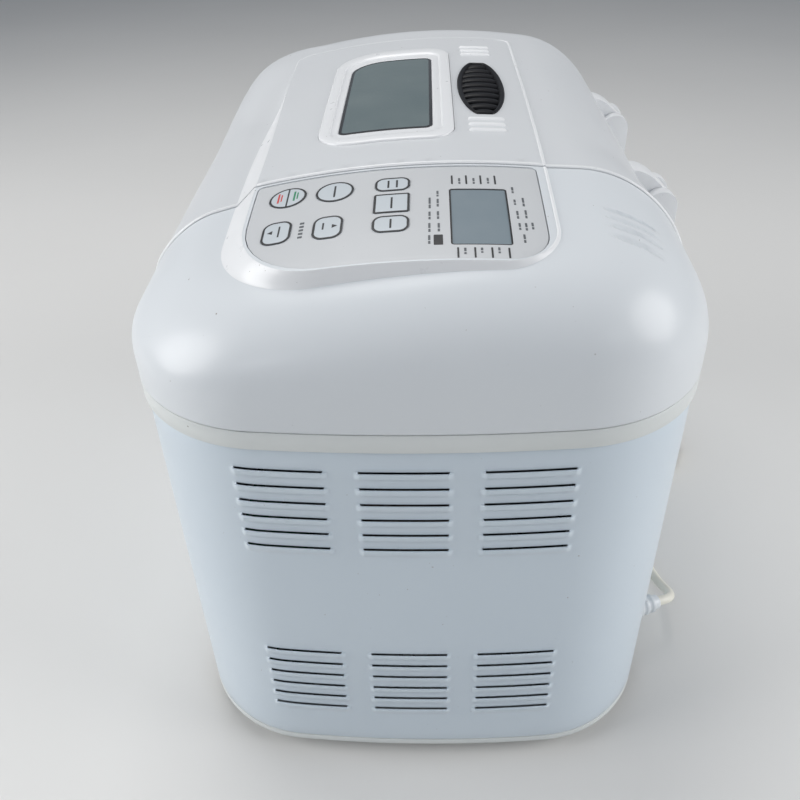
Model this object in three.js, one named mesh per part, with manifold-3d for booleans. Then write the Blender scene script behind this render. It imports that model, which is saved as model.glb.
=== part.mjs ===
// Bread machine with a horizontal loaf pan. Millimetres, +Z up, standing on z = 0.
// +X is the end with the control panel, -Y is the front and +Y is the hinged back.
import * as THREE from 'three';
import { mergeVertices } from 'three/addons/utils/BufferGeometryUtils.js';
import Module from 'manifold-3d';

const wasm = await Module();
wasm.setup();

// ---------------------------------------------------------------- driving dimensions
const GAP = 0.3; // clearance between pieces that touch
const FAR = 400; // reach of a cutting block, beyond every side
const ROW_SHIFT_Y = -4.25; // puts the hinges and the front at equal distance from the origin

const HALF_LENGTH = 186; // sheet-metal wrap, half its length along X
const HALF_DEPTH = 121; // half its depth along Y
const CORNER_R = 62; // plan radius of the four vertical corners
const END_BOW_R = 726; // plan radius of the bowed ends
const PROUD = 1.5; // the trim band and the cover stand this far outside the wrap

const FOOT_TOP = 8;
const BASE_LIP_TOP = 12;
const BASE_WALL_TOP = 28;
const WRAP_TOP = 208;
const BAND_TOP = 217.3;
const DECK_TOP = 226; // deck around the oven, under the lid
const LID_BOTTOM = 226.5;
const SEAM_X = 88.5; // the lid meets the control panel housing here
const SEAM_GAP = 0.5;

const CROWN_TOP = 294.2;
const CROWN_DROP = 25; // the crown falls by this much towards the control panel end
const CROWN_FADE = 82;
const PANEL_CURVE = 0.00125; // sideways curvature of the raised top panel
const PANEL_CENTRE_Y = 15;
const SHELL_DROP = 2.2; // the shell lies this far below the raised panel
const SHELL_CURVE = 0.0011;
const SHELL_CENTRE_Y = 40;
const BLEND_FROM = 200; // distance from the near end where panel and shell begin to merge
const BLEND_TO = 300;

const SHOULDER = {
  near: { radius: 55, start: 222 },
  far: { radius: 58, start: 228 },
  front: { radius: 27, start: 240 },
  back: { radius: 50, start: 232 },
};
const LID_BACK_INSET = 5; // the lid's back wall stands in front of the hinges
const COVER_SKIN = 3;
const LID_SKIN = 2.5;

const WRAP_SHEET = 1;
const LOUVRE = { length: 37.5, height: 1.6, pitch: 50.5, rowPitch: 8.6, rows: 6, centreY: -5.25 };
const LOUVRE_GROUP_TOPS = [197.2, 83.2];

const PANEL = { x0: -114, x1: 156, y0: -75, y1: 55, frontR: 34, backR: 22, farR: 10 };
const OVERLAY = { x0: 91, x1: 159.5, y0: -69.5, y1: 51, frontR: 35, backR: 16, farR: 3 };
const OVERLAY_TOP = -0.2; // heights of panel pieces count from the raised panel's surface
const OVERLAY_SHEET = 0.7;
const KEY = { top: 0.1, depth: 8, gap: 0.4 };
const KEYS = [
  { name: 'key_start_stop', x: 104.5, y: -53.5, length: 16, width: 16, radius: 7.9 },
  { name: 'key_pause', x: 105.5, y: -33.5, length: 16, width: 16, radius: 7.9 },
  { name: 'key_loaf_size', x: 104.2, y: -9.5, length: 11, width: 14.5, radius: 4 },
  { name: 'key_select', x: 119.3, y: -9.5, length: 14.4, width: 14.5, radius: 1 },
  { name: 'key_crust', x: 134.3, y: -9.5, length: 11.3, width: 14.5, radius: 4 },
  { name: 'key_timer_down', x: 131, y: -55, length: 15.6, width: 12, radius: 4.5 },
  { name: 'key_timer_up', x: 132.4, y: -34.3, length: 15.6, width: 12, radius: 4.5 },
];
const DISPLAY = { x: 129.5, y: 25.2, length: 39, width: 22.7, radius: 1 };

const BEZEL = { x0: -86, x1: 64, y0: -50, y1: 17, frontR: 14, backR: 14, farR: 16 };
const BEZEL_TOP = 1.6;
const GLASS = { x0: -66, x1: 48, y0: -37, y1: 7.5, frontR: 4, backR: 4, farR: 5 };
const GLASS_LEDGE = 3;
const VENT = {
  x: -11, y: 32.8, length: 84, width: 22, radius: 10.9,
  slots: 9, pitch: 8, slotWidth: 4, slotReach: 8, bar: 3.2, proud: 0.8,
};
const RIB = { y: 33, width: 17, size: 2.6, rise: 0.8 };
const RIB_PLACES = [37.4, 44.5, 51.5, -73.5, -81.5, -89.5];

const HINGE = { y: 123, z: 243, knuckleR: 8, pinR: 2.2, holeR: 2.6, width: 28, gapWidth: 15, notchR: 8.8 };
const HINGE_BACK_Y = 131;
const HINGE_PLACES = [21, -104];

const DRIVE_X = -40; // axis of the kneading drive
const MOTOR_X = 118;
const PULLEY_R = 50;
const MOTOR_PULLEY_R = 9;
const BELT = { bottom: 22, top: 30, thickness: 2, gap: 0.6 };
const PLATE = { x0: -160, x1: 160, halfWidth: 95, legHalfWidth: 60, bottom: 40, top: 42, sheet: 2 };
const CHAMBER = { length: 224, width: 184, radius: 24, bottom: 42.3, top: 219.5, sheet: 1 };
const MOUTH_LIP = 2; // the deck reaches this far inside the oven's wall
const PAN = { length: 195, width: 125, radius: 28, bottom: 62, top: 203, wall: 1.6, rim: 3 };
const HANDLE = { pivotZ: 207, arm: 60, wireR: 2.2, offset: 104.5, stub: 98, bend: 9 };
const ELEMENT = { rodR: 3.25, z: 70, halfLength: 103, halfWidth: 80, terminalX: 82, terminalY: 14 };

const CORD_R = 2.75;
const CORD_FLOOR_Z = CORD_R + 0.05;
const COIL = { x: -70, y: 160, innerR: 25.4, outerR: 36.7, bottom: 1.5, top: 12.6 };
const RELIEF = { x: 119, y: 117, z: 35.6, length: 21, turn: 0.392, dip: 0.09 };
// Centre line of the lead, from the strain relief's tip to where it joins the coil.
const LEAD_ROUTE = [
  [110.85, 136.6, 33.68],
  [109, 140.8, 32.9],
  [105.2, 144.9, 30.4],
  [99, 147.6, 26],
  [91.5, 148.9, 20.4],
  [83, 149.2, 14.6],
  [73.5, 149, 9.2],
  [63, 148.3, 5.2],
  [52, 147, 3.2],
  [40, 144.9, CORD_FLOOR_Z],
  [26, 142, CORD_FLOOR_Z],
  [12, 138.9, CORD_FLOOR_Z],
  [-3, 135.4, CORD_FLOOR_Z],
  [-17, 131.9, CORD_FLOOR_Z],
  [-29, 129, CORD_FLOOR_Z],
  [-40, 127, CORD_FLOOR_Z],
  [-50, 126.2, CORD_FLOOR_Z],
];
const PLUG = {
  x: -103.4, y: 136.2, z: 7.7, turn: 2.793,
  boot: 14, length: 28, width: 22, height: 15, blade: 17, bladeSpacing: 12.7,
};
const FOOT_PLACES = [[135, -78], [135, 78], [-135, -78], [-135, 78]];
const LINER = { gap: 9, sheet: 1.2, endGap: 14, floor: 229.5 };
const SENSOR = { y: 45, z: 110, radius: 3, x0: 62, x1: 80 };
const PANEL_TILT = 0.2; // the boards lie parallel to the sloping panel

const SMALLEST_CORNER = 0.2;
const TURN = 2 * Math.PI;
const QUARTER = Math.PI / 2;

// ---------------------------------------------------------------- materials
const paint = (name, color, roughness, metalness = 0) =>
  new THREE.MeshStandardMaterial({ name, color, roughness, metalness });

const WHITE_PLASTIC = paint('white plastic', 0xeef0f2, 0.28);
const PAINTED_STEEL = paint('painted steel', 0xe4ebf2, 0.35, 0.1);
const BAND_PLASTIC = paint('band plastic', 0xe6e8e4, 0.4);
const OVERLAY_SHEET_PAINT = paint('panel sheet', 0xdcdad2, 0.45);
const KEY_RUBBER = paint('keys', 0xd3d8de, 0.5);
const SMOKED_GLASS = paint('smoked glass', 0x8c9492, 0.12);
const DARK_GLOSS = paint('black plastic', 0x101114, 0.2);
const DARK_RUBBER = paint('rubber', 0x2a2a2a, 0.8);
const STEEL = paint('steel', 0xb9bcc0, 0.35, 0.9);
const ALUMINIUM = paint('aluminium', 0xc9cbcd, 0.4, 0.9);
const NON_STICK = paint('non-stick coating', 0x34363a, 0.5, 0.3);
const BOARD_GREEN = paint('circuit board', 0x2f6b46, 0.6);
const COPPER = paint('motor', 0x8a5a3a, 0.5, 0.6);
const CORD_PLASTIC = paint('cord', 0xece7da, 0.45);
const BRASS = paint('brass', 0xc7a557, 0.35, 0.9);

// ---------------------------------------------------------------- solids from three.js geometry
function solidOf(geometry) {
  const bare = geometry.clone();
  bare.deleteAttribute('normal');
  bare.deleteAttribute('uv');
  const merged = mergeVertices(bare, 1e-4);
  const index = merged.index.array;
  const triangles = [];
  for (let i = 0; i < index.length; i += 3) {
    const [a, b, c] = [index[i], index[i + 1], index[i + 2]];
    if (a !== b && b !== c && c !== a) triangles.push(a, b, c);
  }
  const vertProperties = new Float32Array(merged.attributes.position.array);
  const build = (list) =>
    new wasm.Manifold(new wasm.Mesh({ numProp: 3, vertProperties, triVerts: new Uint32Array(list) }));
  const solid = build(triangles);
  return solid.volume() > 0 ? solid : build(triangles.reverse());
}

function geometryOf(solid) {
  const result = solid.getMesh();
  const geometry = new THREE.BufferGeometry();
  geometry.setAttribute('position', new THREE.BufferAttribute(result.vertProperties, 3));
  geometry.setIndex(new THREE.BufferAttribute(result.triVerts, 1));
  geometry.computeVertexNormals();
  return geometry;
}

function meshOf(name, solid, material) {
  const mesh = new THREE.Mesh(geometryOf(solid), material);
  mesh.name = name;
  return mesh;
}

const joined = (solids) => solids.reduce((sum, solid) => sum.add(solid));
const cut = (solid, tools) => tools.reduce((rest, tool) => rest.subtract(tool), solid);

function block(x0, x1, y0, y1, z0, z1) {
  const geometry = new THREE.BoxGeometry(x1 - x0, y1 - y0, z1 - z0);
  geometry.translate((x0 + x1) / 2, (y0 + y1) / 2, (z0 + z1) / 2);
  return solidOf(geometry);
}

function prism(shape, z0, z1, curveSegments = 2) {
  const geometry = new THREE.ExtrudeGeometry(shape, { depth: z1 - z0, bevelEnabled: false, curveSegments });
  geometry.translate(0, 0, z0);
  return solidOf(geometry);
}

// Extrudes a profile drawn in (y, z) along X.
function prismAlongX(shape, x0, x1, curveSegments = 6) {
  const geometry = new THREE.ExtrudeGeometry(shape, { depth: x1 - x0, bevelEnabled: false, curveSegments });
  const basis = new THREE.Matrix4().makeBasis(
    new THREE.Vector3(0, 1, 0), new THREE.Vector3(0, 0, 1), new THREE.Vector3(1, 0, 0));
  geometry.applyMatrix4(basis);
  geometry.translate(x0, 0, 0);
  return solidOf(geometry);
}

function rod(x, y, radius, z0, z1, sides = 20) {
  const geometry = new THREE.CylinderGeometry(radius, radius, z1 - z0, sides);
  geometry.rotateX(QUARTER);
  geometry.translate(x, y, (z0 + z1) / 2);
  return solidOf(geometry);
}

function rodAlongX(y, z, radius, x0, x1, sides = 24) {
  const geometry = new THREE.CylinderGeometry(radius, radius, x1 - x0, sides);
  geometry.rotateZ(QUARTER);
  geometry.translate((x0 + x1) / 2, y, z);
  return solidOf(geometry);
}

// Turns a profile of [radius, height] points about the vertical line through (x, y).
function turned(profile, x, y, sides = 20) {
  const points = profile.map(([radius, height]) => new THREE.Vector2(radius, height));
  const geometry = new THREE.LatheGeometry(points, sides);
  geometry.rotateX(QUARTER);
  geometry.translate(x, y, 0);
  return solidOf(geometry);
}

const closed = (profile) => [...profile, profile[0]];

function wire(points, radius, steps, sides = 8, loop = false) {
  const path = new THREE.CatmullRomCurve3(points.map((p) => new THREE.Vector3(...p)), loop, 'centripetal');
  const section = new THREE.Shape();
  section.absarc(0, 0, radius, 0, TURN);
  const outline = new THREE.Shape(section.getSpacedPoints(sides).slice(0, sides));
  return solidOf(new THREE.ExtrudeGeometry(outline, { steps, extrudePath: path, bevelEnabled: false }));
}

// Rounded rectangle, drawn out by grow on every side; near corners are those towards +X.
function roundedRect({ x0, x1, y0, y1, frontR, backR, farR }, grow = 0) {
  const shape = new THREE.Shape();
  const corner = (x, y, sx, sy, radius, from) => {
    const r = Math.max(radius + grow, SMALLEST_CORNER);
    shape.absarc(x + sx * (grow - r), y + sy * (grow - r), r, from, from + QUARTER);
  };
  corner(x1, y0, 1, -1, frontR, -QUARTER);
  corner(x1, y1, 1, 1, backR, 0);
  corner(x0, y1, -1, 1, farR, QUARTER);
  corner(x0, y0, -1, -1, farR, Math.PI);
  shape.closePath();
  return shape;
}

const padRect = ({ x, y, length, width, radius }, grow = 0) =>
  roundedRect({
    x0: x - length / 2, x1: x + length / 2, y0: y - width / 2, y1: y + width / 2,
    frontR: radius, backR: radius, farR: radius,
  }, grow);

// ---------------------------------------------------------------- plan outline and dome
const BOW_CENTRE_X = HALF_LENGTH - END_BOW_R;
const CORNER_Y = HALF_DEPTH - CORNER_R;
const CORNER_X = BOW_CENTRE_X + Math.sqrt((END_BOW_R - CORNER_R) ** 2 - CORNER_Y ** 2);
const BOW_ANGLE = Math.atan2(CORNER_Y, CORNER_X - BOW_CENTRE_X);

// One quarter of the outline, from the middle of the near end to the middle of the back.
function quarterOutline(offset, { bow, corner, side }) {
  const samples = [];
  const arc = (centreX, centreY, radius, from, to, steps, first) => {
    for (let i = first; i <= steps; i += 1) {
      const angle = from + (to - from) * i / steps;
      const normal = new THREE.Vector2(Math.cos(angle), Math.sin(angle));
      samples.push({ point: new THREE.Vector2(centreX, centreY).addScaledVector(normal, radius), normal });
    }
  };
  arc(BOW_CENTRE_X, 0, END_BOW_R + offset, 0, BOW_ANGLE, bow, 0);
  arc(CORNER_X, CORNER_Y, CORNER_R + offset, BOW_ANGLE, QUARTER, corner, 1);
  for (let i = 1; i <= side; i += 1) {
    const x = CORNER_X * (1 - i / side);
    samples.push({ point: new THREE.Vector2(x, HALF_DEPTH + offset), normal: new THREE.Vector2(0, 1) });
  }
  return samples;
}

// The whole outline, counter-clockwise, each sample with its outward normal.
function planOutline(offset, detail) {
  const flip = (sample, sx, sy) => ({
    point: new THREE.Vector2(sample.point.x * sx, sample.point.y * sy),
    normal: new THREE.Vector2(sample.normal.x * sx, sample.normal.y * sy),
  });
  const first = quarterOutline(offset, detail);
  const second = first.slice(1, -1).reverse().map((s) => flip(s, -1, 1));
  const third = first.map((s) => flip(s, -1, -1));
  const fourth = first.slice(1, -1).reverse().map((s) => flip(s, 1, -1));
  return [...first, ...second, ...third, ...fourth];
}

const planPrism = (offset, z0, z1, detail = { bow: 2, corner: 5, side: 1 }) =>
  prism(new THREE.Shape(planOutline(offset, detail).map((s) => s.point)), z0, z1);

const crownLine = (x) => CROWN_TOP - CROWN_DROP * Math.exp((x - HALF_LENGTH) / CROWN_FADE);
const panelHeight = (x, y) => crownLine(x) - PANEL_CURVE * (y - PANEL_CENTRE_Y) ** 2;

function shellHeight(x, y) {
  const shell = crownLine(x) - SHELL_DROP - SHELL_CURVE * (y - SHELL_CENTRE_Y) ** 2;
  const blend = THREE.MathUtils.smoothstep(HALF_LENGTH - x, BLEND_FROM, BLEND_TO);
  return THREE.MathUtils.lerp(shell, Math.max(panelHeight(x, y), shell), blend);
}

function shoulderAt(normal) {
  const end = normal.x > 0 ? SHOULDER.near : SHOULDER.far;
  const side = normal.y > 0 ? SHOULDER.back : SHOULDER.front;
  const share = normal.y ** 2;
  return {
    radius: THREE.MathUtils.lerp(end.radius, side.radius, share),
    start: THREE.MathUtils.lerp(end.start, side.start, share),
  };
}

// Extra inset of the back wall, which begins behind the control panel housing.
function backInset({ point, normal }) {
  const along = 1 - THREE.MathUtils.smoothstep(point.x, SEAM_X - 40, SEAM_X);
  return normal.y > 0 ? LID_BACK_INSET * along * normal.y ** 2 : 0;
}

// Skins a stack of rings; the first is closed by a flat floor and the last has collapsed onto a ridge.
function loftOf(rings) {
  const count = rings[0].length;
  const positions = rings.flat().flatMap((p) => [p.x, p.y, p.z]);
  const index = [];
  for (let k = 0; k < rings.length - 1; k += 1) {
    for (let i = 0; i < count; i += 1) {
      const next = (i + 1) % count;
      const [a, b, c, d] = [k * count + i, k * count + next, (k + 1) * count + next, (k + 1) * count + i];
      index.push(a, b, c, a, c, d);
    }
  }
  const foot = rings[0].map((p) => new THREE.Vector2(p.x, p.y));
  for (const [a, b, c] of THREE.ShapeUtils.triangulateShape(foot, [])) index.push(a, c, b);
  const geometry = new THREE.BufferGeometry();
  geometry.setAttribute('position', new THREE.Float32BufferAttribute(positions, 3));
  geometry.setIndex(index);
  return solidOf(geometry);
}

// Solid under the domed shell, drawn in by skin on every side, standing on the height floor.
function dome(skin, floor, detail = { bow: 1, corner: 5, side: 2, arc: 4, top: 2 }) {
  const outline = planOutline(PROUD - skin, detail);
  const spine = (p) => new THREE.Vector2(THREE.MathUtils.clamp(p.x, -100, 100), 10);
  const drawnIn = (sample, inset) => sample.point.clone().addScaledVector(sample.normal, -inset);
  const at = (sample, inset, rise) => {
    const p = drawnIn(sample, inset);
    const { start } = shoulderAt(sample.normal);
    return new THREE.Vector3(p.x, p.y, start + (shellHeight(p.x, p.y) - skin - start) * rise);
  };
  const foot = outline.map((s) => drawnIn(s, backInset(s)));
  const rings = [foot.map((p) => new THREE.Vector3(p.x, p.y, floor))];
  for (let k = 0; k <= detail.arc; k += 1) {
    const angle = QUARTER * k / detail.arc;
    rings.push(outline.map((s) => {
      const { radius } = shoulderAt(s.normal);
      return at(s, backInset(s) + (radius - skin) * (1 - Math.cos(angle)), Math.sin(angle));
    }));
  }
  const rim = rings.at(-1);
  for (let k = 1; k <= detail.top; k += 1) {
    rings.push(rim.map((p) => {
      const flat = new THREE.Vector2(p.x, p.y).lerp(spine(p), k / detail.top);
      return new THREE.Vector3(flat.x, flat.y, shellHeight(flat.x, flat.y) - skin);
    }));
  }
  return loftOf(rings);
}

// Everything below the raised panel's surface plus rise, over the panel's area.
function crownBlock(rise) {
  const margin = 12;
  const [x0, x1] = [PANEL.x0 - margin, PANEL.x1 + margin];
  const [y0, y1] = [PANEL.y0 - margin, PANEL.y1 + margin];
  const geometry = new THREE.BoxGeometry(x1 - x0, y1 - y0, 1, 6, 4, 1);
  geometry.translate((x0 + x1) / 2, (y0 + y1) / 2, 0);
  const position = geometry.attributes.position;
  for (let i = 0; i < position.count; i += 1) {
    const top = panelHeight(position.getX(i), position.getY(i)) + rise;
    position.setZ(i, position.getZ(i) > 0 ? top : DECK_TOP + 4);
  }
  return solidOf(geometry);
}

// A piece with the given outline that follows the raised panel between two heights.
function crownPiece(shape, low, high, curveSegments = 2) {
  const column = prism(shape, DECK_TOP + 5, CROWN_TOP + 10, curveSegments);
  return column.intersect(crownBlock(high)).subtract(crownBlock(low));
}

const raisedPanel = (rise, grow) =>
  prism(roundedRect(PANEL, grow), DECK_TOP + 6, CROWN_TOP + 10).intersect(crownBlock(rise));

const hoodOuter = () => dome(0, BAND_TOP).add(raisedPanel(0, 0));
const hoodInner = (skin, floor) => dome(skin, floor).add(raisedPanel(-skin, -skin));

// ---------------------------------------------------------------- base
function baseTray() {
  const lip = planPrism(0, FOOT_TOP, BASE_LIP_TOP);
  const wall = planPrism(-WRAP_SHEET - 0.5, FOOT_TOP, BASE_WALL_TOP);
  const inside = planPrism(-4, FOOT_TOP + 2.5, BASE_WALL_TOP + 1);
  const bosses = FOOT_PLACES.map(([x, y]) => rod(x, y, 5.5, FOOT_TOP + 1, 22, 12));
  const holes = FOOT_PLACES.map(([x, y]) => rod(x, y, 2.6, 0, 24, 12));
  const slots = [-30, -18, -6, 6, 18, 30].map((y) => block(92, 146, y - 2.5, y + 2.5, 0, 20));
  return cut(joined([cut(lip.add(wall), [inside]), ...bosses]), [...holes, ...slots]);
}

const footPad = ([x, y]) =>
  turned(closed([[2.6, 4], [5, 4], [5, 0], [11, 0], [12, FOOT_TOP - GAP], [2.6, FOOT_TOP - GAP]]), x, y, 16);

const footScrew = ([x, y]) =>
  turned([[0, 1.4], [4.3, 1.4], [4.3, 4 - GAP], [2.2, 4 - GAP], [2.2, 20], [0, 20]], x, y, 12);

// ---------------------------------------------------------------- wrap and trim band
// A slot through the bowed end, square to the sheet.
function louvreSlot(y, z) {
  const geometry = new THREE.BoxGeometry(8, LOUVRE.length, LOUVRE.height);
  geometry.translate(END_BOW_R, 0, 0);
  geometry.rotateZ(Math.asin(y / END_BOW_R));
  geometry.translate(BOW_CENTRE_X, 0, z);
  return solidOf(geometry);
}

function bodyWrap() {
  const shell = cut(planPrism(0, BASE_LIP_TOP + GAP, WRAP_TOP), [planPrism(-WRAP_SHEET, 0, FAR)]);
  const slots = [];
  for (const groupTop of LOUVRE_GROUP_TOPS) {
    for (let row = 0; row < LOUVRE.rows; row += 1) {
      for (const column of [-1, 0, 1]) {
        slots.push(louvreSlot(LOUVRE.centreY + column * LOUVRE.pitch, groupTop - row * LOUVRE.rowPitch));
      }
    }
  }
  const cordHole = new THREE.CylinderGeometry(7, 7, 12, 20);
  cordHole.translate(RELIEF.x - 1.8, HALF_DEPTH, RELIEF.z - 0.4);
  return cut(shell, [...slots, solidOf(cordHole)]);
}

function trimBand() {
  const bottom = WRAP_TOP + GAP;
  return cut(planPrism(PROUD, bottom, BAND_TOP), [planPrism(-2.5, bottom - 1, BAND_TOP + 1)]);
}

// ---------------------------------------------------------------- cover with the control panel housing
function ovenMouth() {
  const { length, width, radius } = CHAMBER;
  const lip = padRect({ x: DRIVE_X, y: 0, length, width, radius }, -MOUTH_LIP);
  return prism(lip, BAND_TOP, DECK_TOP + 1);
}

function topCover() {
  const bottom = BAND_TOP + GAP;
  const nose = hoodOuter().intersect(block(SEAM_X, FAR, -FAR, FAR, bottom, FAR));
  const deck = planPrism(PROUD, bottom, DECK_TOP);
  const noseInside = hoodInner(COVER_SKIN, bottom - 5)
    .intersect(block(SEAM_X + COVER_SKIN, FAR, -FAR, FAR, bottom - 5, FAR));
  const deckInside = planPrism(PROUD - COVER_SKIN, bottom - 5, DECK_TOP - COVER_SKIN);
  const keyHoles = KEYS.map((key) => prism(padRect(key, KEY.gap), DECK_TOP + 8, FAR));
  const pocket = crownPiece(roundedRect(OVERLAY), OVERLAY_TOP - OVERLAY_SHEET - GAP, 6);
  const displayHole = prism(padRect(DISPLAY, -1.5), DECK_TOP + 8, FAR, 1);
  const tools = [noseInside, deckInside, ovenMouth(), pocket, ...keyHoles, displayHole];
  return cut(nose.add(deck), tools);
}

function panelOverlay() {
  const sheet = crownPiece(roundedRect(OVERLAY, -GAP), OVERLAY_TOP - OVERLAY_SHEET, OVERLAY_TOP);
  const keyHoles = KEYS.map((key) => prism(padRect(key, KEY.gap), DECK_TOP + 8, FAR));
  return cut(sheet, [...keyHoles, prism(padRect(DISPLAY, GAP), DECK_TOP + 8, FAR, 1)]);
}

const keyPad = (key) => crownPiece(padRect(key), KEY.top - KEY.depth, KEY.top);
const displayLens = () => crownPiece(padRect(DISPLAY), OVERLAY_TOP - OVERLAY_SHEET, OVERLAY_TOP);

function tilted(mesh, x, y, depth) {
  mesh.position.set(x, y, panelHeight(x, y) - depth);
  mesh.rotation.y = PANEL_TILT;
  return mesh;
}

function displayModule() {
  const mesh = meshOf('display_module', block(-23, 18, -14, 14, -3.5, 3.5), DARK_GLOSS);
  return tilted(mesh, DISPLAY.x, DISPLAY.y, 10.6);
}

function controlBoard() {
  const chips = [[-12, -20], [10, 8], [4, 30]].map(([x, y]) => block(x - 6, x + 6, y - 6, y + 6, -4, 0));
  const board = joined([block(-28, 28, -52, 48, -0.8, 0.8), ...chips]);
  return tilted(meshOf('control_board', board, BOARD_GREEN), 125, -6, 20);
}

// ---------------------------------------------------------------- lid
function hingeArm(x) {
  const { y, z, knuckleR, gapWidth } = HINGE;
  const profile = new THREE.Shape();
  profile.moveTo(106.8, 262.4);
  profile.absarc(114, 247, HINGE_BACK_Y - 114, 2, 0, true);
  profile.absarc(y, z, knuckleR, 0, Math.PI, true);
  profile.lineTo(108, 255);
  profile.closePath();
  return prismAlongX(profile, x - gapWidth / 2 + GAP, x + gapWidth / 2 - GAP, 5);
}

function lidShell() {
  const end = SEAM_X - SEAM_GAP;
  const outer = hoodOuter().intersect(block(-FAR, end, -FAR, FAR, LID_BOTTOM, FAR));
  const inside = hoodInner(LID_SKIN, LID_BOTTOM - 4)
    .intersect(block(-FAR, end - LID_SKIN, -FAR, FAR, LID_BOTTOM - 4, FAR));
  const openings = [
    prism(roundedRect(BEZEL, GAP), LID_BOTTOM + 10, FAR),
    prism(padRect(VENT, GAP), LID_BOTTOM + 10, FAR),
  ];
  const notches = HINGE_PLACES.map((x) =>
    rodAlongX(HINGE.y, HINGE.z, HINGE.notchR, x - HINGE.width / 2 - 0.5, x + HINGE.width / 2 + 0.5, 16));
  const ribs = RIB_PLACES.map((x) => {
    const outline = padRect({ x, y: RIB.y, length: RIB.size, width: RIB.width, radius: 1.2 });
    return crownPiece(outline, -1, RIB.rise);
  });
  const arms = HINGE_PLACES.map(hingeArm);
  const pinHoles = HINGE_PLACES.map((x) => rodAlongX(HINGE.y, HINGE.z, HINGE.holeR, x - 20, x + 20, 12));
  return cut(joined([cut(outer, [inside, ...openings, ...notches]), ...ribs, ...arms]), pinHoles);
}

function lidLiner() {
  const coarse = { bow: 1, corner: 3, side: 2, arc: 3, top: 2 };
  const { gap, sheet, endGap, floor } = LINER;
  const outer = dome(gap, floor, coarse).intersect(block(-FAR, SEAM_X - endGap, -FAR, FAR, floor - 1, FAR));
  const opening = prism(roundedRect(GLASS, 4), floor + 5, FAR);
  return cut(outer, [dome(gap + sheet, floor - 4, coarse), opening]);
}

function windowBezel() {
  const ring = (hole, low, high) => crownPiece(roundedRect(BEZEL), low, high)
    .subtract(prism(roundedRect(GLASS, hole), DECK_TOP + 8, FAR));
  return ring(GAP, -1.4, BEZEL_TOP).add(ring(-GLASS_LEDGE, -3, -1.39));
}

const windowGlass = () => crownPiece(roundedRect(GLASS), -1.1, 0.3);

function innerGlass() {
  const z = panelHeight(GLASS.x0, GLASS.y0) - 16;
  return prism(roundedRect(GLASS, 3), z, z + 2);
}

function ventGrille() {
  const first = -(VENT.slots - 1) / 2;
  const slots = Array.from({ length: VENT.slots }, (_, i) => {
    const x = VENT.x + (first + i) * VENT.pitch;
    const [halfSlot, reach] = [VENT.slotWidth / 2, VENT.slotReach];
    return block(x - halfSlot, x + halfSlot, VENT.y - reach, VENT.y + reach, DECK_TOP, FAR);
  });
  return cut(crownPiece(padRect(VENT), -VENT.bar, VENT.proud), slots);
}

// ---------------------------------------------------------------- hinges
function hingeBlock(x) {
  const { y, z, knuckleR, holeR, width, gapWidth } = HINGE;
  const [front, bottom] = [118.3, DECK_TOP + 0.4];
  const ear = new THREE.Shape();
  ear.moveTo(front, bottom);
  ear.lineTo(HINGE_BACK_Y, bottom);
  ear.absarc(y, z, knuckleR, 0, Math.PI);
  ear.lineTo(front, z - 6.5);
  ear.closePath();
  const ears = [[x - width / 2, x - gapWidth / 2], [x + gapWidth / 2, x + width / 2]]
    .map(([x0, x1]) => prismAlongX(ear, x0, x1, 4));
  const web = block(x - width / 2, x + width / 2, front, HINGE_BACK_Y, bottom, z - 9.5);
  return cut(joined([...ears, web]), [rodAlongX(y, z, holeR, x - 20, x + 20, 12)]);
}

const hingePin = (x) => rodAlongX(HINGE.y, HINGE.z, HINGE.pinR, x - HINGE.width / 2, x + HINGE.width / 2, 12);

// ---------------------------------------------------------------- oven
const chamberRect = (grow) =>
  padRect({ x: DRIVE_X, y: 0, length: CHAMBER.length, width: CHAMBER.width, radius: CHAMBER.radius }, grow);

function ovenChamber() {
  const { bottom, top, sheet, length } = CHAMBER;
  const wallX = DRIVE_X + length / 2;
  const holes = [ELEMENT.terminalY, -ELEMENT.terminalY].map((y) =>
    rodAlongX(y, ELEMENT.z, ELEMENT.rodR + 1.6, wallX - 5, wallX + 5, 16));
  const sensorHole = rodAlongX(SENSOR.y, SENSOR.z, SENSOR.radius + 0.8, wallX - 5, wallX + 5, 16);
  return cut(prism(chamberRect(0), bottom, top),
    [prism(chamberRect(-sheet), bottom + sheet, top + 1), rod(DRIVE_X, 0, 12, 0, 60), ...holes, sensorHole]);
}

const temperatureSensor = () =>
  rodAlongX(SENSOR.y, SENSOR.z, SENSOR.radius, SENSOR.x0, SENSOR.x1, 16);

function heatingElement() {
  const { z, rodR, halfLength, halfWidth, terminalX, terminalY } = ELEMENT;
  const [near, far, bend] = [DRIVE_X + halfLength, DRIVE_X - halfLength, 18];
  const half = [
    [terminalX, terminalY, z],
    [near + 3.5, terminalY, z],
    [near, terminalY + 9, z],
    [near, halfWidth - bend, z],
    [near - bend * 0.3, halfWidth - bend * 0.3, z],
    [near - bend, halfWidth, z],
    [DRIVE_X, halfWidth, z],
    [far + bend, halfWidth, z],
    [far + bend * 0.3, halfWidth - bend * 0.3, z],
    [far, halfWidth - bend, z],
  ];
  const other = half.map(([x, y]) => [x, -y, z]).reverse();
  return wire([...half, ...other], rodR, 40);
}

const panSeat = () =>
  turned(closed([[31, 43.6], [40, 43.6], [40, 45], [37, 46], [37, 58], [31, 58]]), DRIVE_X, 0);

// ---------------------------------------------------------------- loaf pan, handle and paddle
const panRect = (grow) =>
  padRect({ x: DRIVE_X, y: 0, length: PAN.length, width: PAN.width, radius: PAN.radius }, grow);

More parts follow.
